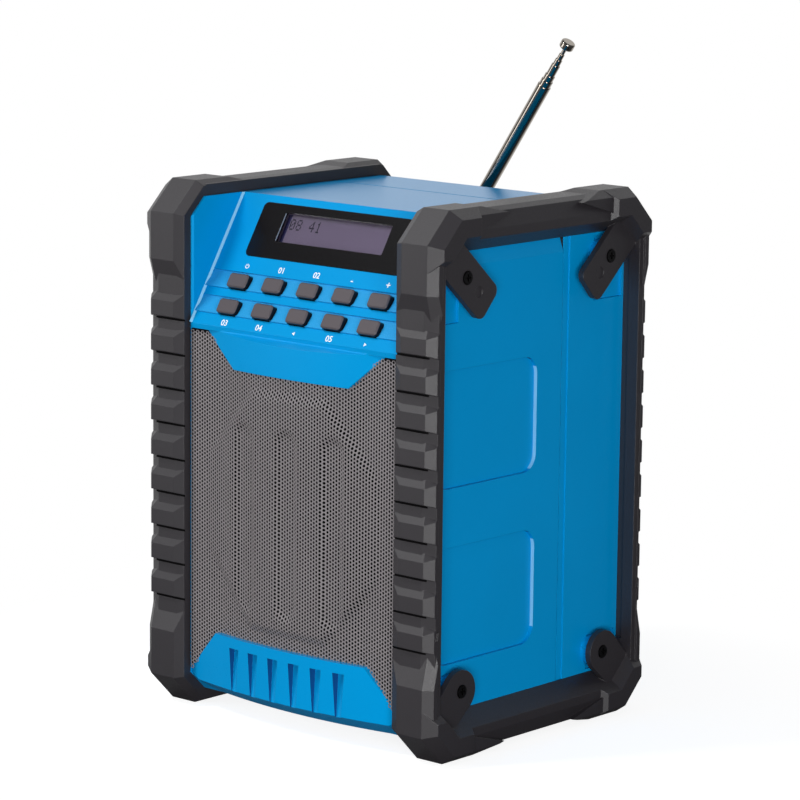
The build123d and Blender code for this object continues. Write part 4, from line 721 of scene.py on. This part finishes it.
def addFloor():
    # pale floor: white to the eye, its shadow kept near the object, and grey in the light it throws back
    material = bpy.data.materials.new("paleFloor")
    material.use_nodes = True
    tree = material.node_tree
    tree.nodes.clear()
    where = addNode(tree, "ShaderNodeTexCoord")
    away = addNode(tree, "ShaderNodeVectorMath", {"operation": "LENGTH"}, i0=(where, "Object"))
    beyond = addNode(tree, "ShaderNodeMapRange", {"interpolation_type": "SMOOTHSTEP"}, i0=(away, "Value"),
                     i1=studio["shadowNear"], i2=studio["shadowFar"])
    glow = addNode(tree, "ShaderNodeEmission", Color=(1, 1, 1, 1), Strength=studio["floorGlow"])
    lit = addNode(tree, "ShaderNodeBsdfDiffuse", Color=hexColour(studio["floorColour"]))
    near = addNode(tree, "ShaderNodeAddShader", i0=(glow, 0), i1=(lit, 0))
    white = addNode(tree, "ShaderNodeEmission", Color=(1, 1, 1, 1), Strength=1.0)
    shown = addNode(tree, "ShaderNodeMixShader", i0=(beyond, 0), i1=(near, 0), i2=(white, 0))
    bounce = addNode(tree, "ShaderNodeBsdfDiffuse", Color=hexColour(studio["bounceColour"]))
    eye = seenWhite(tree, (where, "Object"))
    both = addNode(tree, "ShaderNodeMixShader", i0=(eye, 0), i1=(bounce, 0), i2=(shown, 0))
    addNode(tree, "ShaderNodeOutputMaterial", Surface=(both, 0))
    mesh = bpy.data.meshes.new("floor")
    s = studio["floorHalf"]
    mesh.from_pydata([(-s, -s, 0), (s, -s, 0), (s, s, 0), (-s, s, 0)], [], [(0, 1, 2, 3)])
    mesh.materials.append(material)
    floor = bpy.data.objects.new("floor", mesh)
    bpy.context.scene.collection.objects.link(floor)


def addWorld():
    # soft grey surroundings for the light, plain white where the camera or a mirror looks past the object
    world = bpy.data.worlds.new("world")
    bpy.context.scene.world = world
    world.use_nodes = True
    tree = world.node_tree
    tree.nodes.clear()
    soft = addNode(tree, "ShaderNodeBackground", Color=hexColour(studio["worldColour"]),
                   Strength=studio["worldSoft"])
    white = addNode(tree, "ShaderNodeBackground", Color=(1, 1, 1, 1), Strength=1.0)
    where = addNode(tree, "ShaderNodeTexCoord")
    eye = seenWhite(tree, (where, "Generated"))
    mix = addNode(tree, "ShaderNodeMixShader", i0=(eye, 0), i1=(soft, 0), i2=(white, 0))
    addNode(tree, "ShaderNodeOutputWorld", Surface=(mix, "Shader"))


# lamps: places and sizes in metres, power in watts
lamps = {
    "highLamp": {"place": (-0.5, -0.8, 1.35), "aim": (0, 0, 0.2), "size": (0.35, 0.35), "power": 10},
    "leftLamp": {"place": (-0.95, -1.25, 0.42), "aim": (0, 0, 0.18), "size": (0.7, 0.7), "power": 5},
    "rightLamp": {"place": (1.4, -1.35, 0.24), "aim": (0, 0, 0.15), "size": (1.1, 0.44), "power": 27.3},
}


def addLamp(name, spec):
    # a flat rectangular lamp, facing its aim
    data = bpy.data.lights.new(name, "AREA")
    data.shape = "RECTANGLE"
    data.energy = spec["power"]
    data.size, data.size_y = spec["size"]
    lamp = bpy.data.objects.new(name, data)
    bpy.context.scene.collection.objects.link(lamp)
    lamp.location = spec["place"]
    lamp.rotation_euler = (Vector(spec["aim"]) - Vector(spec["place"])).to_track_quat("-Z", "Y").to_euler()


addCamera()
addFloor()
addWorld()
for name, spec in lamps.items():
    addLamp(name, spec)
bpy.context.scene.view_settings.view_transform = "Standard"
print("camera, floor and", len(lamps), "lamps done")
